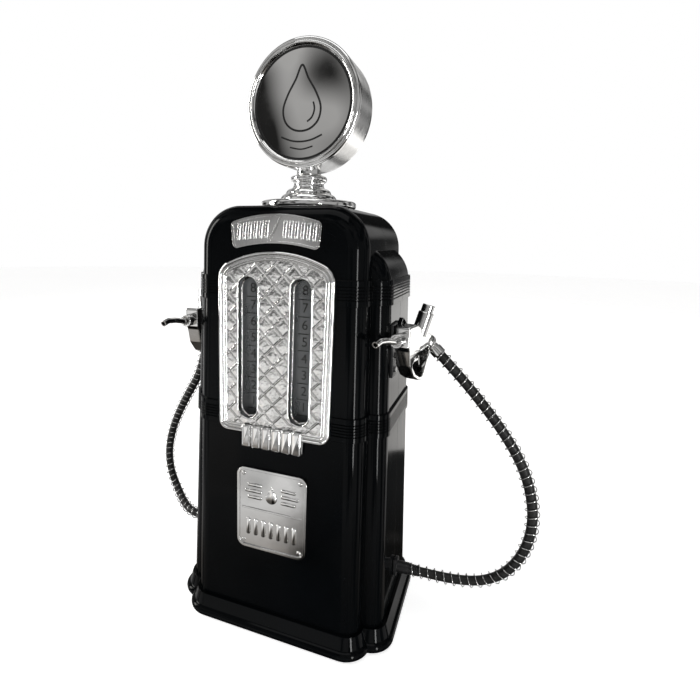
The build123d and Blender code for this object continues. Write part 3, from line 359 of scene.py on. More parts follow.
def make_camera():
    """Camera at the viewing angle, slightly rolled, with a small shift for the framing."""
    turn, pitch, roll = (math.radians(a) for a in (CAMERA_TURN, CAMERA_PITCH, CAMERA_ROLL))
    level = Vector((-math.sin(turn), math.cos(turn), 0))
    ahead = level * math.cos(pitch) - Vector((0, 0, math.sin(pitch)))
    right = Vector((math.cos(turn), math.sin(turn), 0))
    up = right.cross(ahead)
    rolled_right = math.cos(roll) * right + math.sin(roll) * up
    rolled_up = -math.sin(roll) * right + math.cos(roll) * up
    data = bpy.data.cameras.new("camera")
    data.sensor_width = SENSOR
    data.lens = FOCAL_OVER_WIDTH * SENSOR
    data.shift_x, data.shift_y = SHIFT
    data.clip_start = 0.01
    obj = bpy.data.objects.new("camera", data)
    axes = Matrix((rolled_right, rolled_up, -ahead)).transposed()
    obj.matrix_world = Matrix.Translation(Vector(CAMERA_PLACE) * MM) @ axes.to_4x4()
    bpy.context.scene.collection.objects.link(obj)
    bpy.context.scene.camera = obj


def area_light(name, place, target, size, radiance, colour=(1, 1, 1)):
    """Soft rectangular panel aimed at a point, in metres, with a given surface brightness."""
    data = bpy.data.lights.new(name, "AREA")
    data.shape = "RECTANGLE"
    data.size, data.size_y = size
    data.energy = radiance * math.pi * size[0] * size[1]
    data.color = colour
    obj = bpy.data.objects.new(name, data)
    obj.location = place
    obj.rotation_euler = (Vector(target) - Vector(place)).to_track_quat("-Z", "Y").to_euler()
    bpy.context.scene.collection.objects.link(obj)


LOW_ROOM = 0.25               # share of the height below which the room is brown
LOW_WARMTH = 0.16
HIGH_WARMTH = 0.015
PALE_WALL = (-0.42, -0.87, -0.20)


def make_world():
    """White towards the lens; a room with dark and pale bands and a pale wall for reflections."""
    world = bpy.data.worlds.new("studio")
    bpy.context.scene.world = world
    world.use_nodes = True
    tree = world.node_tree
    tree.nodes.clear()
    coords = tree.nodes.new("ShaderNodeTexCoord")
    split = tree.nodes.new("ShaderNodeSeparateXYZ")
    tree.links.new(coords.outputs["Generated"], split.inputs["Vector"])
    ramp = tree.nodes.new("ShaderNodeValToRGB")
    stops = [(0.0, 0.03), (0.19, 0.10), (0.225, 0.30), (0.27, 0.66), (0.36, 0.90), (0.42, 0.88),
             (0.48, 0.40), (0.56, 0.38), (0.66, 0.44), (0.74, 0.70), (0.86, 0.30), (1.0, 0.15)]
    while len(ramp.color_ramp.elements) < len(stops):
        ramp.color_ramp.elements.new(0.5)
    for element, (position, value) in zip(ramp.color_ramp.elements, stops):
        element.position = position
        warmth = LOW_WARMTH if position < LOW_ROOM else HIGH_WARMTH
        element.color = (value, value * (1 - warmth / 2), value * (1 - warmth), 1)
    remap = tree.nodes.new("ShaderNodeMapRange")
    remap.inputs["From Min"].default_value = -1
    tree.links.new(split.outputs["Z"], remap.inputs["Value"])
    tree.links.new(remap.outputs["Result"], ramp.inputs["Fac"])
    clutter = tree.nodes.new("ShaderNodeTexNoise")
    clutter.inputs["Scale"].default_value = 3.0
    clutter.inputs["Detail"].default_value = 2.0
    tree.links.new(coords.outputs["Generated"], clutter.inputs["Vector"])
    shade = tree.nodes.new("ShaderNodeMapRange")
    shade.inputs["From Min"].default_value = 0.44
    shade.inputs["From Max"].default_value = 0.52
    shade.inputs["To Min"].default_value = 0.04
    tree.links.new(clutter.outputs["Fac"], shade.inputs["Value"])
    ahead = tree.nodes.new("ShaderNodeVectorMath")
    ahead.operation = "DOT_PRODUCT"
    ahead.inputs[1].default_value = PALE_WALL
    tree.links.new(coords.outputs["Generated"], ahead.inputs[0])
    pale = tree.nodes.new("ShaderNodeMapRange")
    pale.inputs["From Min"].default_value = 0.92
    pale.inputs["From Max"].default_value = 0.975
    pale.inputs["To Max"].default_value = 0.92
    tree.links.new(ahead.outputs["Value"], pale.inputs["Value"])
    lighter = tree.nodes.new("ShaderNodeMath")
    lighter.operation = "MAXIMUM"
    tree.links.new(shade.outputs["Result"], lighter.inputs[0])
    tree.links.new(pale.outputs["Result"], lighter.inputs[1])
    room = tree.nodes.new("ShaderNodeBackground")
    tree.links.new(lighter.outputs["Value"], room.inputs["Strength"])
    tree.links.new(ramp.outputs["Color"], room.inputs["Color"])
    white = tree.nodes.new("ShaderNodeBackground")
    white.inputs["Color"].default_value = (1, 1, 1, 1)
    white.inputs["Strength"].default_value = 1.0
    path = tree.nodes.new("ShaderNodeLightPath")
    mix = tree.nodes.new("ShaderNodeMixShader")
    tree.links.new(path.outputs["Is Camera Ray"], mix.inputs["Fac"])
    tree.links.new(room.outputs["Background"], mix.inputs[1])
    tree.links.new(white.outputs["Background"], mix.inputs[2])
    out = tree.nodes.new("ShaderNodeOutputWorld")
    tree.links.new(mix.outputs["Shader"], out.inputs["Surface"])


def make_stage():
    """Pale floor, room and soft panels. The floor isn't mirrored, so chrome shows the room."""
    bpy.ops.mesh.primitive_circle_add(vertices=96, radius=6, fill_type="NGON", location=(0, 0, -0.0002))
    floor = bpy.context.object
    floor.name = "floor"
    floor.data.materials.append(pale_floor())
    make_world()
    floor.visible_glossy = False
    area_light("window_left", (-1.7, -0.5, 0.7), (0, 0, 0.25), (0.40, 1.3), 12.0, (1.0, 0.985, 0.95))
    area_light("window_right", (1.25, -1.1, 0.0), (0, 0, 0.2), (0.18, 0.9), 30.0)
    area_light("overhead", (0.0, -0.5, 1.9), (0, 0, 0.2), (1.5, 1.0), 1.5)
    area_light("wall_right", (1.3, 2.3, -0.42), (0, 0, 0.15), (2.4, 1.05), 0.95, (1.0, 0.98, 0.95))
    area_light("dark_right", (1.3, 2.3, 0.75), (0, 0, 0.15), (2.4, 1.2), 0.05)
    area_light("wall_left", (-1.6, 1.7, 0.2), (0, 0, 0.2), (1.2, 1.4), 0.8)
    area_light("low_left", (-1.5, -2.2, -0.9), (0, 0, 0.05), (0.5, 0.5), 0.25, (1.0, 0.86, 0.7))
    bpy.context.scene.view_settings.view_transform = "Standard"


# ---------------------------------------------------------------- hoses
HOSE_RADIUS = 4.0
WIRE_RADIUS = 0.42
WIRE_COIL_RADIUS = 5.45
WIRE_PITCH = 6.9
ROUTES = {
    "right": [
        (133.5, 6.5, 226.5), (151.0, 6.2, 207.5), (168.5, 6.0, 187.0), (184.5, 5.5, 163.5),
        (194.5, 5.0, 139.5), (199.2, 4.0, 113.5), (196.0, 3.0, 87.0), (184.5, 2.0, 64.8),
        (167.5, 1.2, 51.8), (147.0, 0.6, 47.0), (125.0, 0.0, 46.0), (104.5, 0.0, 46.0),
    ],
    "left": [
        (-115.5, 14.5, 219.5), (-125.0, 19.0, 196.0), (-141.5, 24.0, 174.0), (-157.5, 28.0, 150.0),
        (-170.5, 30.0, 124.5), (-176.5, 29.0, 98.0), (-171.5, 25.0, 74.5), (-155.5, 17.0, 56.0),
        (-139.0, 6.2, 47.8), (-121.8, 0.0, 46.0), (-104.5, 0.0, 46.0),
    ],
}
FERRULE_REACH = 13.0

# nozzles' own frames, as in the CAD: x outwards, y backwards, z up, origin in the spout's collar
NOZZLES = {"right": ((89.1, -42.0, 261.8), 15.0), "left": ((-94.4, -42.0, 263.1), 2.0)}
BALL = (2.9, 51.5, -8.0)


def nozzle_matrix(side):
    """From the nozzle's frame, mirrored on the left, to the object's, in millimetres."""
    place, turn = NOZZLES[side]
    sign = SIDES[side]
    flip = Matrix.Diagonal((sign, 1, 1, 1))
    return Matrix.Translation(place) @ Matrix.Rotation(math.radians(-sign * turn), 4, "Z") @ flip


def route(side):
    """Control points from the ferrule's end face to the gland's end face."""
    ball = nozzle_matrix(side) @ Vector(BALL)
    along = (Vector(ROUTES[side][0]) - ball).normalized()
    return [ball + along * FERRULE_REACH] + [Vector(p) for p in ROUTES[side]]


def nurbs_line(name, points, bevel):
    curve = bpy.data.curves.new(name, "CURVE")
    curve.dimensions = "3D"
    spline = curve.splines.new("NURBS")
    spline.points.add(len(points) - 1)
    for target, point in zip(spline.points, points):
        target.co = (*(point * MM), 1)
    spline.order_u = 3
    spline.use_endpoint_u = True
    spline.resolution_u = 24
    curve.bevel_depth = bevel * MM
    curve.bevel_resolution = 8
    curve.use_fill_caps = True
    return curve


def line_points(points):
    """Points along the smooth line, in millimetres, evenly read from the curve itself."""
    curve = nurbs_line("route_reader", points, 0)
    obj = bpy.data.objects.new("route_reader", curve)
    bpy.context.scene.collection.objects.link(obj)
    bpy.context.view_layer.update()
    mesh = bpy.data.meshes.new_from_object(obj)
    found = [v.co / MM for v in mesh.vertices]
    bpy.data.objects.remove(obj)
    bpy.data.curves.remove(curve)
    bpy.data.meshes.remove(mesh)
    return found


def resample(points, step):
    """Points spaced evenly along a polyline, with the arc length of each."""
    lengths = [0.0]
    for before, after in zip(points, points[1:]):
        lengths.append(lengths[-1] + (after - before).length)
    total = lengths[-1]
    count = max(2, round(total / step))
    found = []
    index = 0
    for i in range(count + 1):
        at = total * i / count
        while index < len(lengths) - 2 and lengths[index + 1] < at:
            index += 1
        share = (at - lengths[index]) / (lengths[index + 1] - lengths[index])
        found.append((points[index].lerp(points[index + 1], share), at))
    return found, total


def carried_frames(samples):
    """Tangent and a side vector that doesn't twist, at each sample."""
    frames = []
    side = None
    for i, (point, at) in enumerate(samples):
        before = samples[max(i - 1, 0)][0]
        after = samples[min(i + 1, len(samples) - 1)][0]
        tangent = (after - before).normalized()
        if side is None:
            side = tangent.cross(Vector((0, 1, 0))).normalized()
        side = (side - tangent * side.dot(tangent)).normalized()
        frames.append((point, tangent, side, tangent.cross(side), at))
    return frames


def tube_along(name, centres, radius, around=10, closed_ends=True):
    """Mesh tube whose centre follows a list of points."""
    samples = []
    at = 0.0
    for i, centre in enumerate(centres):
        at += (centre - centres[i - 1]).length if i else 0.0
        samples.append((centre, at))
    points, faces = [], []
    for point, tangent, side, other, at in carried_frames(samples):
        for k in range(around):
            angle = 2 * math.pi * k / around
            points.append(point + (side * math.cos(angle) + other * math.sin(angle)) * radius)
    rings = len(samples)
    for i in range(rings - 1):
        for k in range(around):
            j = (k + 1) % around
            faces.append((i * around + k, i * around + j, (i + 1) * around + j, (i + 1) * around + k))
    if closed_ends:
        faces.append(tuple(range(around)))
        faces.append(tuple((rings - 1) * around + k for k in range(around)))
    return mesh_object(name, points, faces, 60)


def make_hose(side):
    """Hose and wound guard, bent between the gland and the nozzle's ferrule."""
    points = route(side)
    bend = ("pump", "nozzle_" + side, points[-1], points[0])
    centres = [point for point, at in resample(line_points(points), 1.2)[0]]
    hose = tube_along("hose_tube_" + side, centres, HOSE_RADIUS, around=32)
    finish_piece(hose, bend, "rubber", RUBBER, "hose_" + side)
    samples, total = resample(line_points(points), 0.35)
    coil = []
    for point, tangent, first, second, at in carried_frames(samples):
        angle = 2 * math.pi * at / WIRE_PITCH
        coil.append(point + (first * math.cos(angle) + second * math.sin(angle)) * WIRE_COIL_RADIUS)
    wire = tube_along("guard_coil_" + side, coil, WIRE_RADIUS, around=8)
    finish_piece(wire, bend, "guard_wire", WIRE, "hose_guard_" + side)
    relief = make_relief(side)


def lathe(name, profile, place, axis, around=64, smooth=35):
    """Turned piece: (radius, distance) pairs round an axis through a place, in millimetres."""
    axis = Vector(axis).normalized()
    helper = Vector((0, 0, 1)) if abs(axis.z) < 0.9 else Vector((1, 0, 0))
    first = axis.cross(helper).normalized()
    second = axis.cross(first)
    points, faces = [], []
    for radius, distance in profile:
        for k in range(around):
            angle = 2 * math.pi * k / around
            swing = first * math.cos(angle) + second * math.sin(angle)
            points.append(Vector(place) + axis * distance + swing * radius)
    for i in range(len(profile) - 1):
        for k in range(around):
            j = (k + 1) % around
            faces.append((i * around + k, i * around + j, (i + 1) * around + j, (i + 1) * around + k))
    closed = profile[0] == profile[-1]
    if not closed:
        faces.append(tuple(range(around)))
        faces.append(tuple((len(profile) - 1) * around + k for k in range(around)))
    return mesh_object(name, points, faces, smooth)


def arc_points(centre, radius, start, end, steps):
    """Points of an arc in a plane; angles in degrees."""
    found = []
    for i in range(steps + 1):
        angle = math.radians(start + (end - start) * i / steps)
        found.append((centre[0] + radius * math.cos(angle), centre[1] + radius * math.sin(angle)))
    return found


RELIEF_LENGTH = 9.6


def make_relief(side):
    """Tapered, ribbed rubber sleeve over the hose where it leaves the gland."""
    sign = SIDES[side]
    profile = [(4.05, 0.0)]
    ribs = 6
    for i in range(ribs):
        at = RELIEF_LENGTH * i / ribs
        radius = 5.0 - 0.45 * i / ribs
        groove = radius - 0.5
        profile += [(radius, at + 0.1), (radius, at + 1.0), (groove, at + 1.25), (groove, at + 1.5)]
    profile += [(4.05, RELIEF_LENGTH + 0.6), (4.05, 0.0)]
    start = Vector(ROUTES[side][-1]) + Vector((sign * 0.05, 0, 0))
    relief = lathe("strain_relief_" + side, profile, start, (sign, 0, 0), 40, 30)
    return finish_piece(relief, "pump", "black_plastic", SATIN)


# ---------------------------------------------------------------- front face trim
FACE_FOOT_Y = -71.05
FACE_SLOPE = 0.025
FACE_OUT = Vector((0, -1, FACE_SLOPE)).normalized()
FACE_UP = Vector((0, FACE_SLOPE, 1)).normalized()


def on_face(x, s, height):
    """Point on the tilted front face: across, up the face, and out from it."""
    return Vector((x, FACE_FOOT_Y, 0)) + FACE_UP * s + FACE_OUT * height


def loop_normals(loop):
    """Inward normals of an anticlockwise closed outline."""
    found = []
    for i, (x, s) in enumerate(loop):
        ax, az = loop[i - 1]
        bx, bz = loop[(i + 1) % len(loop)]
        length = math.hypot(bx - ax, bz - az)
        found.append((-(bz - az) / length, (bx - ax) / length))
    return found


def loop_strip(loop, profile, closed_profile=False):
    """Points and faces of a moulding that follows a closed outline. profile: (inset, height)."""
    normals = loop_normals(loop)
    points, faces = [], []
    for inset, height in profile:
        for (x, s), (nx, ns) in zip(loop, normals):
            points.append(on_face(x + nx * inset, s + ns * inset, height))
    count = len(loop)
    for i in range(len(profile) - 1):
        for k in range(count):
            j = (k + 1) % count
            faces.append((i * count + k, i * count + j, (i + 1) * count + j, (i + 1) * count + k))
    return points, faces


def join_parts(parts):
    """One list of points and faces from several."""
    points, faces = [], []
    for some_points, some_faces in parts:
        base = len(points)
        points += some_points
        faces += [tuple(base + i for i in face) for face in some_faces]
    return points, faces


def spaced(loop, step):
    """A closed outline with points at most a step apart on its straight runs."""
    found = []
    for i, (x, s) in enumerate(loop):
        nx, ns = loop[(i + 1) % len(loop)]
        run = math.hypot(nx - x, ns - s)
        count = max(1, math.ceil(run / step))
        for k in range(count):
            found.append((x + (nx - x) * k / count, s + (ns - s) * k / count))
    return found


PLATE_HALF, PLATE_LOW, PLATE_SHOULDER, PLATE_APEX = 47.6, 180.9, 311.2, 324.5
PLATE_CORNER, PLATE_TURN = 8.0, 14.0
SLOT_X, SLOT_HALF, SLOT_LOW, SLOT_HIGH = 21.75, 8.05, 194.0, 305.0


def plate_outline():
    """Arched plate, anticlockwise, from the lower right corner."""
    rise = PLATE_APEX - PLATE_SHOULDER
    arch = (PLATE_HALF ** 2 + rise ** 2) / (2 * rise)
    arch_z = PLATE_APEX - arch
    turn_x = PLATE_HALF - PLATE_TURN
    turn_z = arch_z + math.sqrt((arch - PLATE_TURN) ** 2 - turn_x ** 2)
    meet = math.degrees(math.atan2(turn_z - arch_z, turn_x))
    corner_x, corner_z = PLATE_HALF - PLATE_CORNER, PLATE_LOW + PLATE_CORNER
    right = arc_points((corner_x, corner_z), PLATE_CORNER, -90, 0, 14)
    right += arc_points((turn_x, turn_z), PLATE_TURN, 0, meet, 14)
    right += arc_points((0, arch_z), arch, meet, 90, 26)[1:]
    left = [(-x, z) for x, z in reversed(right[:-1])]
    return right + left


def slot_outline(centre_x):
    """Stadium, anticlockwise."""
    high, low = SLOT_HIGH - SLOT_HALF, SLOT_LOW + SLOT_HALF
    top = arc_points((centre_x, high), SLOT_HALF, 0, 180, 28)
    return top + arc_points((centre_x, low), SLOT_HALF, 180, 360, 28)


def inside_distance(loop, x, s):
    """Distance to an outline's nearest edge, positive inside."""
    best = 1e9
    inside = False
    for i, (ax, az) in enumerate(loop):
        bx, bz = loop[(i + 1) % len(loop)]
        dx, dz = bx - ax, bz - az
        share = max(0.0, min(1.0, ((x - ax) * dx + (s - az) * dz) / (dx * dx + dz * dz + 1e-12)))
        best = min(best, math.hypot(x - ax - share * dx, s - az - share * dz))
        if (az > s) != (bz > s) and x < ax + (s - az) * dx / dz:
            inside = not inside
    return best if inside else -best


QUILT_PITCH = 15.4
QUILT_PHASE = 315.2
QUILT_RIB = 0.45
QUILT_FLANK = 0.35
QUILT_HIGH = 2.15
QUILT_LOW = 1.7


def quilt_height(x, s):
    """Raised lattice with sunk, slightly pillowed diamonds between its bars."""
    nearest = 1e9
    for across in (x + s - QUILT_PHASE, x - s + QUILT_PHASE):
        offset = (across + QUILT_PITCH / 2) % QUILT_PITCH - QUILT_PITCH / 2
        nearest = min(nearest, abs(offset) / math.sqrt(2))
    share = max(0.0, min(1.0, (nearest - QUILT_RIB) / QUILT_FLANK))
    share = share * share * (3 - 2 * share)
    pillow = 0.28 * min(1.0, max(0.0, nearest - QUILT_RIB - QUILT_FLANK) / 3.2)
    return QUILT_HIGH + (QUILT_LOW - QUILT_HIGH) * share + pillow * share


FIELD_INSET = 7.2
FIELD_STEP = 0.5


def plate_field(outline, slots):
    """The quilted field, its ragged border tucked under the beads round it."""
    points, faces, index = [], [], {}
    half = PLATE_HALF - 4
    columns = int(2 * half / FIELD_STEP)
    rows = int((PLATE_APEX - PLATE_LOW) / FIELD_STEP)
    for r in range(rows + 1):
        s = PLATE_LOW + r * FIELD_STEP
        for c in range(columns + 1):
            x = -half + c * FIELD_STEP
            near_slot = abs(abs(x) - SLOT_X) < SLOT_HALF + 2 and SLOT_LOW - 2 < s < SLOT_HIGH + 2
            if near_slot and max(inside_distance(slot, x, s) for slot in slots) > -0.5:
                continue
            deep = half - abs(x) > 6 and PLATE_LOW + 12 < s < PLATE_SHOULDER - 12
            if not deep and inside_distance(outline, x, s) < FIELD_INSET - 0.9:
                continue
            index[(r, c)] = len(points)
            points.append(on_face(x, s, quilt_height(x, s)))
    for (r, c) in index:
        corners = [(r, c), (r, c + 1), (r + 1, c + 1), (r + 1, c)]
        if all(corner in index for corner in corners):
            faces.append(tuple(index[corner] for corner in corners))
    return points, faces


def bead(inset, width, low, high, steps=8):
    """Half-round bead across an inset, as profile points."""
    found = []
    for i in range(steps + 1):
        angle = math.pi * i / steps
        found.append((inset + width * (1 - math.cos(angle)) / 2, low + (high - low) * math.sin(angle)))
    return found


def make_faceplate():
    """Beaded border and slot lips, the quilted field between them, and the apron."""
    outline = spaced(plate_outline(), 3.0)
    slots = [spaced(slot_outline(sign * SLOT_X), 3.0) for sign in (-1, 1)]
    rim = [(0.0, 0.1), (0.0, 1.4)] + bead(0.0, 3.0, 1.4, 3.4) + [(3.2, 0.9), (3.8, 0.9)]
    rim += bead(3.9, 1.7, 1.3, 2.9) + [(5.9, 1.3), (6.2, 1.3)]
    rim += bead(6.3, 0.9, 1.5, 2.5, 6) + [(7.3, 1.2)]
    parts = [loop_strip(outline, rim)]
    for slot in slots:
        lip = [(0.9, -3.0), (0.2, -2.6), (0.0, 1.6)] + bead(0.0, -1.5, 1.6, 2.9) + [(-1.6, 1.2)]
        parts.append(loop_strip(slot, lip))
    points, faces = join_parts(parts)
    frame_piece = mesh_object("faceplate_beads", points, faces, 50)
    finish_piece(frame_piece, "pump", "chrome_trim", CHROME, "faceplate")
    points, faces = plate_field(outline, slots)
    field = mesh_object("faceplate_quilt", points, faces, 80)
    finish_piece(field, "pump", "chrome_trim", HAMMERED)
    make_apron()


APRON_HALF, APRON_LOW, APRON_HIGH, APRON_RIBS = 26.2, 169.8, 188.0, 6


def rounded_rectangle(x0, x1, s0, s1, radius, steps=6):
    """Anticlockwise outline."""
    found = arc_points((x1 - radius, s0 + radius), radius, -90, 0, steps)
    found += arc_points((x1 - radius, s1 - radius), radius, 0, 90, steps)
    found += arc_points((x0 + radius, s1 - radius), radius, 90, 180, steps)
    return found + arc_points((x0 + radius, s0 + radius), radius, 180, 270, steps)


def capped_moulding(loop, profile):
    """A moulding round an outline, with its top closed by one face."""
    points, faces = loop_strip(loop, profile)
    count = len(loop)
    faces.append(tuple((len(profile) - 1) * count + k for k in range(count)))
    return points, faces


def make_apron():
    """Six rounded upright ribs on a backing slab, under the plate."""
    slab = rounded_rectangle(-APRON_HALF, APRON_HALF, APRON_LOW, APRON_HIGH, 2.0)
    parts = [capped_moulding(slab, [(0.0, 0.1), (0.0, 2.6), (0.5, 3.1), (1.0, 3.2)])]
    pitch = 2 * APRON_HALF / APRON_RIBS
    for rib in range(APRON_RIBS):
        left = -APRON_HALF + rib * pitch + 0.45
        loop = rounded_rectangle(left, left + pitch - 0.9, APRON_LOW + 0.3, APRON_HIGH + 0.6, 1.2, 4)
        parts.append(capped_moulding(loop, [(0.0, 3.0), (0.0, 4.2), (0.35, 4.9), (0.9, 5.3), (1.6, 5.4)]))
    points, faces = join_parts(parts)
    apron = mesh_object("faceplate_apron", points, faces, 20)
    finish_piece(apron, "pump", "chrome_trim", CHROME)


# ---------------------------------------------------------------- relief on the plates
def relief(loops, base, height):
    """Raised, softly edged shapes on the front face."""
    profile = [(0.0, base - 0.3), (0.0, base + height * 0.5), (0.2, base + height * 0.85),
               (0.5, base + height)]
    return join_parts([capped_moulding(loop, profile) for loop in loops])


def drop_outline(centre_x, centre_s, radius, steps=20):
    """Drop with its point upwards, anticlockwise."""
    loop = arc_points((centre_x, centre_s), radius, 150, 390, steps)
    tip = (centre_x, centre_s + 2.0 * radius)
    return loop + [((loop[-1][0] + tip[0]) / 2, (loop[-1][1] + tip[1]) / 2 - 0.06 * radius), tip,
                   ((loop[0][0] + tip[0]) / 2, (loop[0][1] + tip[1]) / 2 - 0.06 * radius)]


def make_lower_relief():
    """A drop between speed lines above the bar, upright pips below it."""
    middle = 115.2
    loops = [drop_outline(0, middle + 12.5, 5.0)]
    for sign in (-1, 1):
        for row, length in ((0, 13.0), (1, 15.5), (2, 13.0)):
            s0 = middle + 9.0 + row * 5.4
            x0, x1 = sorted((sign * 8.5, sign * (8.5 + length)))
            loops.append(rounded_rectangle(x0, x1, s0, s0 + 2.8, 1.3, 5))
    for k in range(-3, 4):
        x = k * 6.9
        loops.append(rounded_rectangle(x - 1.9, x + 1.9, middle - 24.0, middle - 9.0, 1.8, 6))
    points, faces = relief(loops, 1.4, 0.95)
    piece = mesh_object("lower_plate_relief", points, faces, 28)
    finish_piece(piece, "pump", "chrome_trim", CHROME)


def make_badge_relief():
    """Short raised bars each side of the slanted bar."""
    loops = []
    for sign in (-1, 1):
        for k in range(6):
            x = sign * (7.2 + k * 4.6)
            drop = 0.0022 * x * x
            lean = 1.2
            s0, s1 = 333.6 - drop, 346.2 - drop * 1.15
            loops.append([(x - 1.25, s0), (x + 1.25, s0), (x + 1.25 + lean, s1), (x - 1.25 + lean, s1)])
    points, faces = relief([spaced(loop, 4.0) for loop in loops], 1.8, 0.75)
    piece = mesh_object("upper_badge_relief", points, faces, 50)
    finish_piece(piece, "pump", "chrome_trim", CHROME)


# ---------------------------------------------------------------- globe
GLOBE_Z = 433.7
FACE_AT = 17.6
INK_THICK = 0.12


def make_bezels():
    """Stepped rings round each mirror face."""
    for name, sign in (("front", -1), ("back", 1)):
        profile = [(40.2, 17.62), (40.9, 18.3)]
        profile += arc_points((42.0, 19.1), 1.1, 200, 20, 10)
        profile += [(43.15, 18.5), (43.3, 17.9)]
        profile += arc_points((44.35, 16.9), 1.95, 110, 0, 14)
        profile += [(46.3, 14.05), (42.7, 14.05), (42.7, 17.55), (40.2, 17.55), (40.2, 17.62)]
        bezel = lathe("globe_bezel_ring_" + name, profile, (0, 0, GLOBE_Z), (0, sign, 0), 128, 30)
        finish_piece(bezel, "globe_lid", "chrome_trim", CHROME, "globe_bezel_" + name)


def ribbon(path, width, closed=False):
    """Flat line of a width through 2-D points: outline points and faces, two a step."""
    points, faces = [], []
    count = len(path)
    for i, (x, z) in enumerate(path):
        before = path[i - 1] if closed or i else path[i]
        after = path[(i + 1) % count] if closed or i < count - 1 else path[i]
        length = math.hypot(after[0] - before[0], after[1] - before[1])
        nx, nz = -(after[1] - before[1]) / length, (after[0] - before[0]) / length
        points += [(x + nx * width / 2, z + nz * width / 2), (x - nx * width / 2, z - nz * width / 2)]
    for i in range(count if closed else count - 1):
        j = (i + 1) % count
        faces.append((2 * i, 2 * i + 1, 2 * j + 1, 2 * j))
    return points, faces


def smooth_path(points, steps=10, closed=False):
    """Catmull-Rom line through 2-D points."""
    found = []
    count = len(points)
    for i in range(count if closed else count - 1):
        if closed:
            p0, p1, p2, p3 = (points[(i + k) % count] for k in (-1, 0, 1, 2))
        else:
            p0, p1, p2 = points[max(i - 1, 0)], points[i], points[i + 1]
            p3 = points[min(i + 2, count - 1)]
        for k in range(steps):
            t = k / steps
            found.append(tuple(
                0.5 * (2 * b + (c - a) * t + (2 * a - 5 * b + 4 * c - d) * t * t
                       + (3 * b - a - 3 * c + d) * t ** 3)
                for a, b, c, d in zip(p0, p1, p2, p3)))
    return found if closed else found + [points[-1]]


def globe_lines():
    """Ring near the edge, a large fuel drop with a shine line, and two ripples under it."""
    ring = [(39.2 * math.cos(a), 39.2 * math.sin(a)) for a in (2 * math.pi * k / 160 for k in range(160))]
    lines = [(ring, 1.7, True)]
    side = [(0, 27), (5.2, 17.5), (11.5, 7.5), (15.4, -2.5), (13.8, -11.5), (7.8, -17.2)]
    drop = smooth_path(side + [(0, -19)] + [(-x, z) for x, z in reversed(side[1:])], 10, True)
    lines.append((drop, 1.5, True))
    lines.append((smooth_path([(9.4, 1.0), (10.4, -4.0), (8.6, -9.4), (4.6, -12.6)]), 1.3, False))
    ripple = smooth_path([(-17, -22.5), (-8.5, -25.6), (0, -26.6), (8.5, -25.6), (17, -22.5)])
    lines.append((ripple, 1.3, False))
    lines.append((smooth_path([(-9.5, -30.4), (0, -32.2), (9.5, -30.4)]), 1.1, False))
    return lines


def make_globe_art():
    """The line drawing as thin raised ink on both mirror faces."""
    for name, sign in (("front", -1), ("back", 1)):
        points, faces = [], []
        for path, width, closed in globe_lines():
            flat, quads = ribbon(path, width, closed)
            base = len(points)
            for level in (FACE_AT + 0.005, FACE_AT + INK_THICK):
                points += [(-sign * x, sign * level, GLOBE_Z + z) for x, z in flat]
            shift = len(flat)
            edges = {}
            for quad in quads:
                faces.append(tuple(base + i for i in quad))
                faces.append(tuple(base + shift + i for i in reversed(quad)))
                for a, b in zip(quad, quad[1:] + quad[:1]):
                    key = (min(a, b), max(a, b))
                    edges[key] = edges.get(key, 0) + 1
            for (a, b), uses in edges.items():
                if uses == 1:
                    faces.append((base + a, base + b, base + shift + b, base + shift + a))
        art = mesh_object("globe_line_art_" + name, points, faces, 30)
        finish_piece(art, "globe_lid", "mirror_face", INK)


# ---------------------------------------------------------------- tank scale
TANK_FACE_Y = -57.0
SCALE_TOP_Z = 296.0
SCALE_PITCH = 13.0
DIGIT_SIZE = 10.5
DIGIT_HALF_THICK = 0.08
TICK_THICK = 0.15
TICK_CORNERS = ((-5.5, -0.35), (5.5, -0.35), (5.5, 0.35), (-5.5, 0.35))


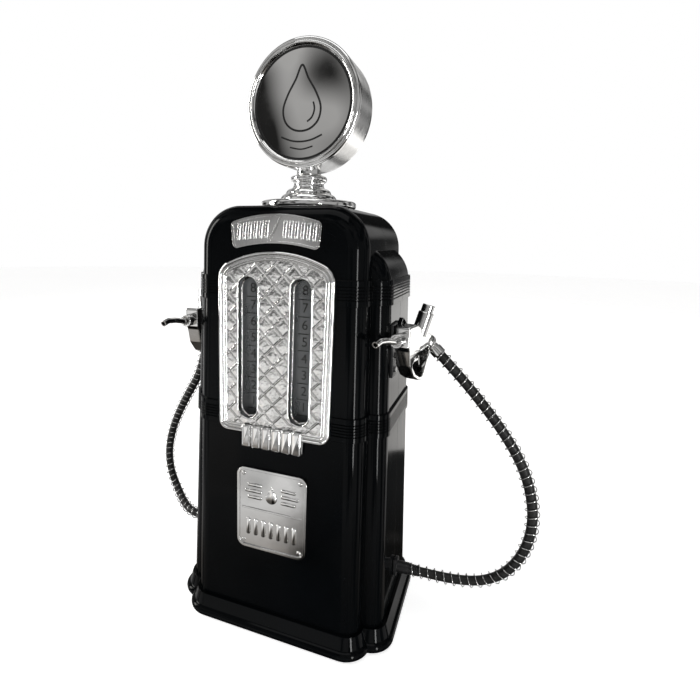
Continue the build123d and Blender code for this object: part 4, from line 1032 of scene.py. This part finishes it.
def make_scales():
    """Numbers 8 to 1 and a line between each, printed on both tanks."""
    for side, sign in SIDES.items():
        parts = []
        for step in range(8):
            z = SCALE_TOP_Z - step * SCALE_PITCH
            parts.append(digit(str(8 - step), sign * SLOT_X, z))
            points = [(sign * SLOT_X + x, TANK_FACE_Y - y, z - SCALE_PITCH / 2 + h)
                      for y in (TICK_THICK, 0.0) for x, h in TICK_CORNERS]
            faces = [(0, 1, 2, 3), (4, 5, 6, 7)]
            faces += [(k, (k + 1) % 4, 4 + (k + 1) % 4, 4 + k) for k in range(4)]
            parts.append((points, faces))
        points, faces = join_parts(parts)
        scale = mesh_object("tank_scale_" + side, points, faces, 30)
        finish_piece(scale, "pump", "clear_tank", INK)


def digit(text, x, z):
    """Points and faces of one extruded figure, centred on a place on the tank's face."""
    curve = bpy.data.curves.new("digit", "FONT")
    curve.body = text
    curve.size = DIGIT_SIZE
    curve.extrude = DIGIT_HALF_THICK
    curve.align_x = "CENTER"
    curve.align_y = "CENTER"
    obj = bpy.data.objects.new("digit", curve)
    bpy.context.scene.collection.objects.link(obj)
    bpy.context.view_layer.update()
    mesh = bpy.data.meshes.new_from_object(obj)
    points = [(x + v.co.x, TANK_FACE_Y - DIGIT_HALF_THICK - v.co.z, z + v.co.y) for v in mesh.vertices]
    faces = [tuple(f.vertices) for f in mesh.polygons]
    bpy.data.objects.remove(obj)
    bpy.data.curves.remove(curve)
    bpy.data.meshes.remove(mesh)
    return points, faces


# ---------------------------------------------------------------- castings
def softened(name, node, voxel, rounds):
    """Copy of a CAD solid with the rolled edges of a casting."""
    obj = collect(name, NODES[node].data.copy())
    remesh = obj.modifiers.new("remesh", "REMESH")
    remesh.mode = "VOXEL"
    remesh.voxel_size = voxel * MM
    smooth = obj.modifiers.new("smooth", "SMOOTH")
    smooth.factor = 0.5
    smooth.iterations = rounds
    bpy.context.view_layer.update()
    graph = bpy.context.evaluated_depsgraph_get()
    mesh = bpy.data.meshes.new_from_object(obj.evaluated_get(graph))
    obj.modifiers.clear()
    obj.data = mesh
    mesh.shade_smooth()
    return obj


def make_castings():
    """Nozzle bodies with rolled edges."""
    for side in SIDES:
        body = softened("nozzle_casting_" + side, "nozzle_body_" + side, 0.3, 5)
        finish_piece(body, "nozzle_" + side, "chrome_trim", CAST_CHROME, "nozzle_body_" + side)


# ---------------------------------------------------------------- build
make_camera()
make_stage()
dress_cad()
for side_name in SIDES:
    make_hose(side_name)
make_faceplate()
make_lower_relief()
make_badge_relief()
make_bezels()
make_globe_art()
make_scales()
make_castings()
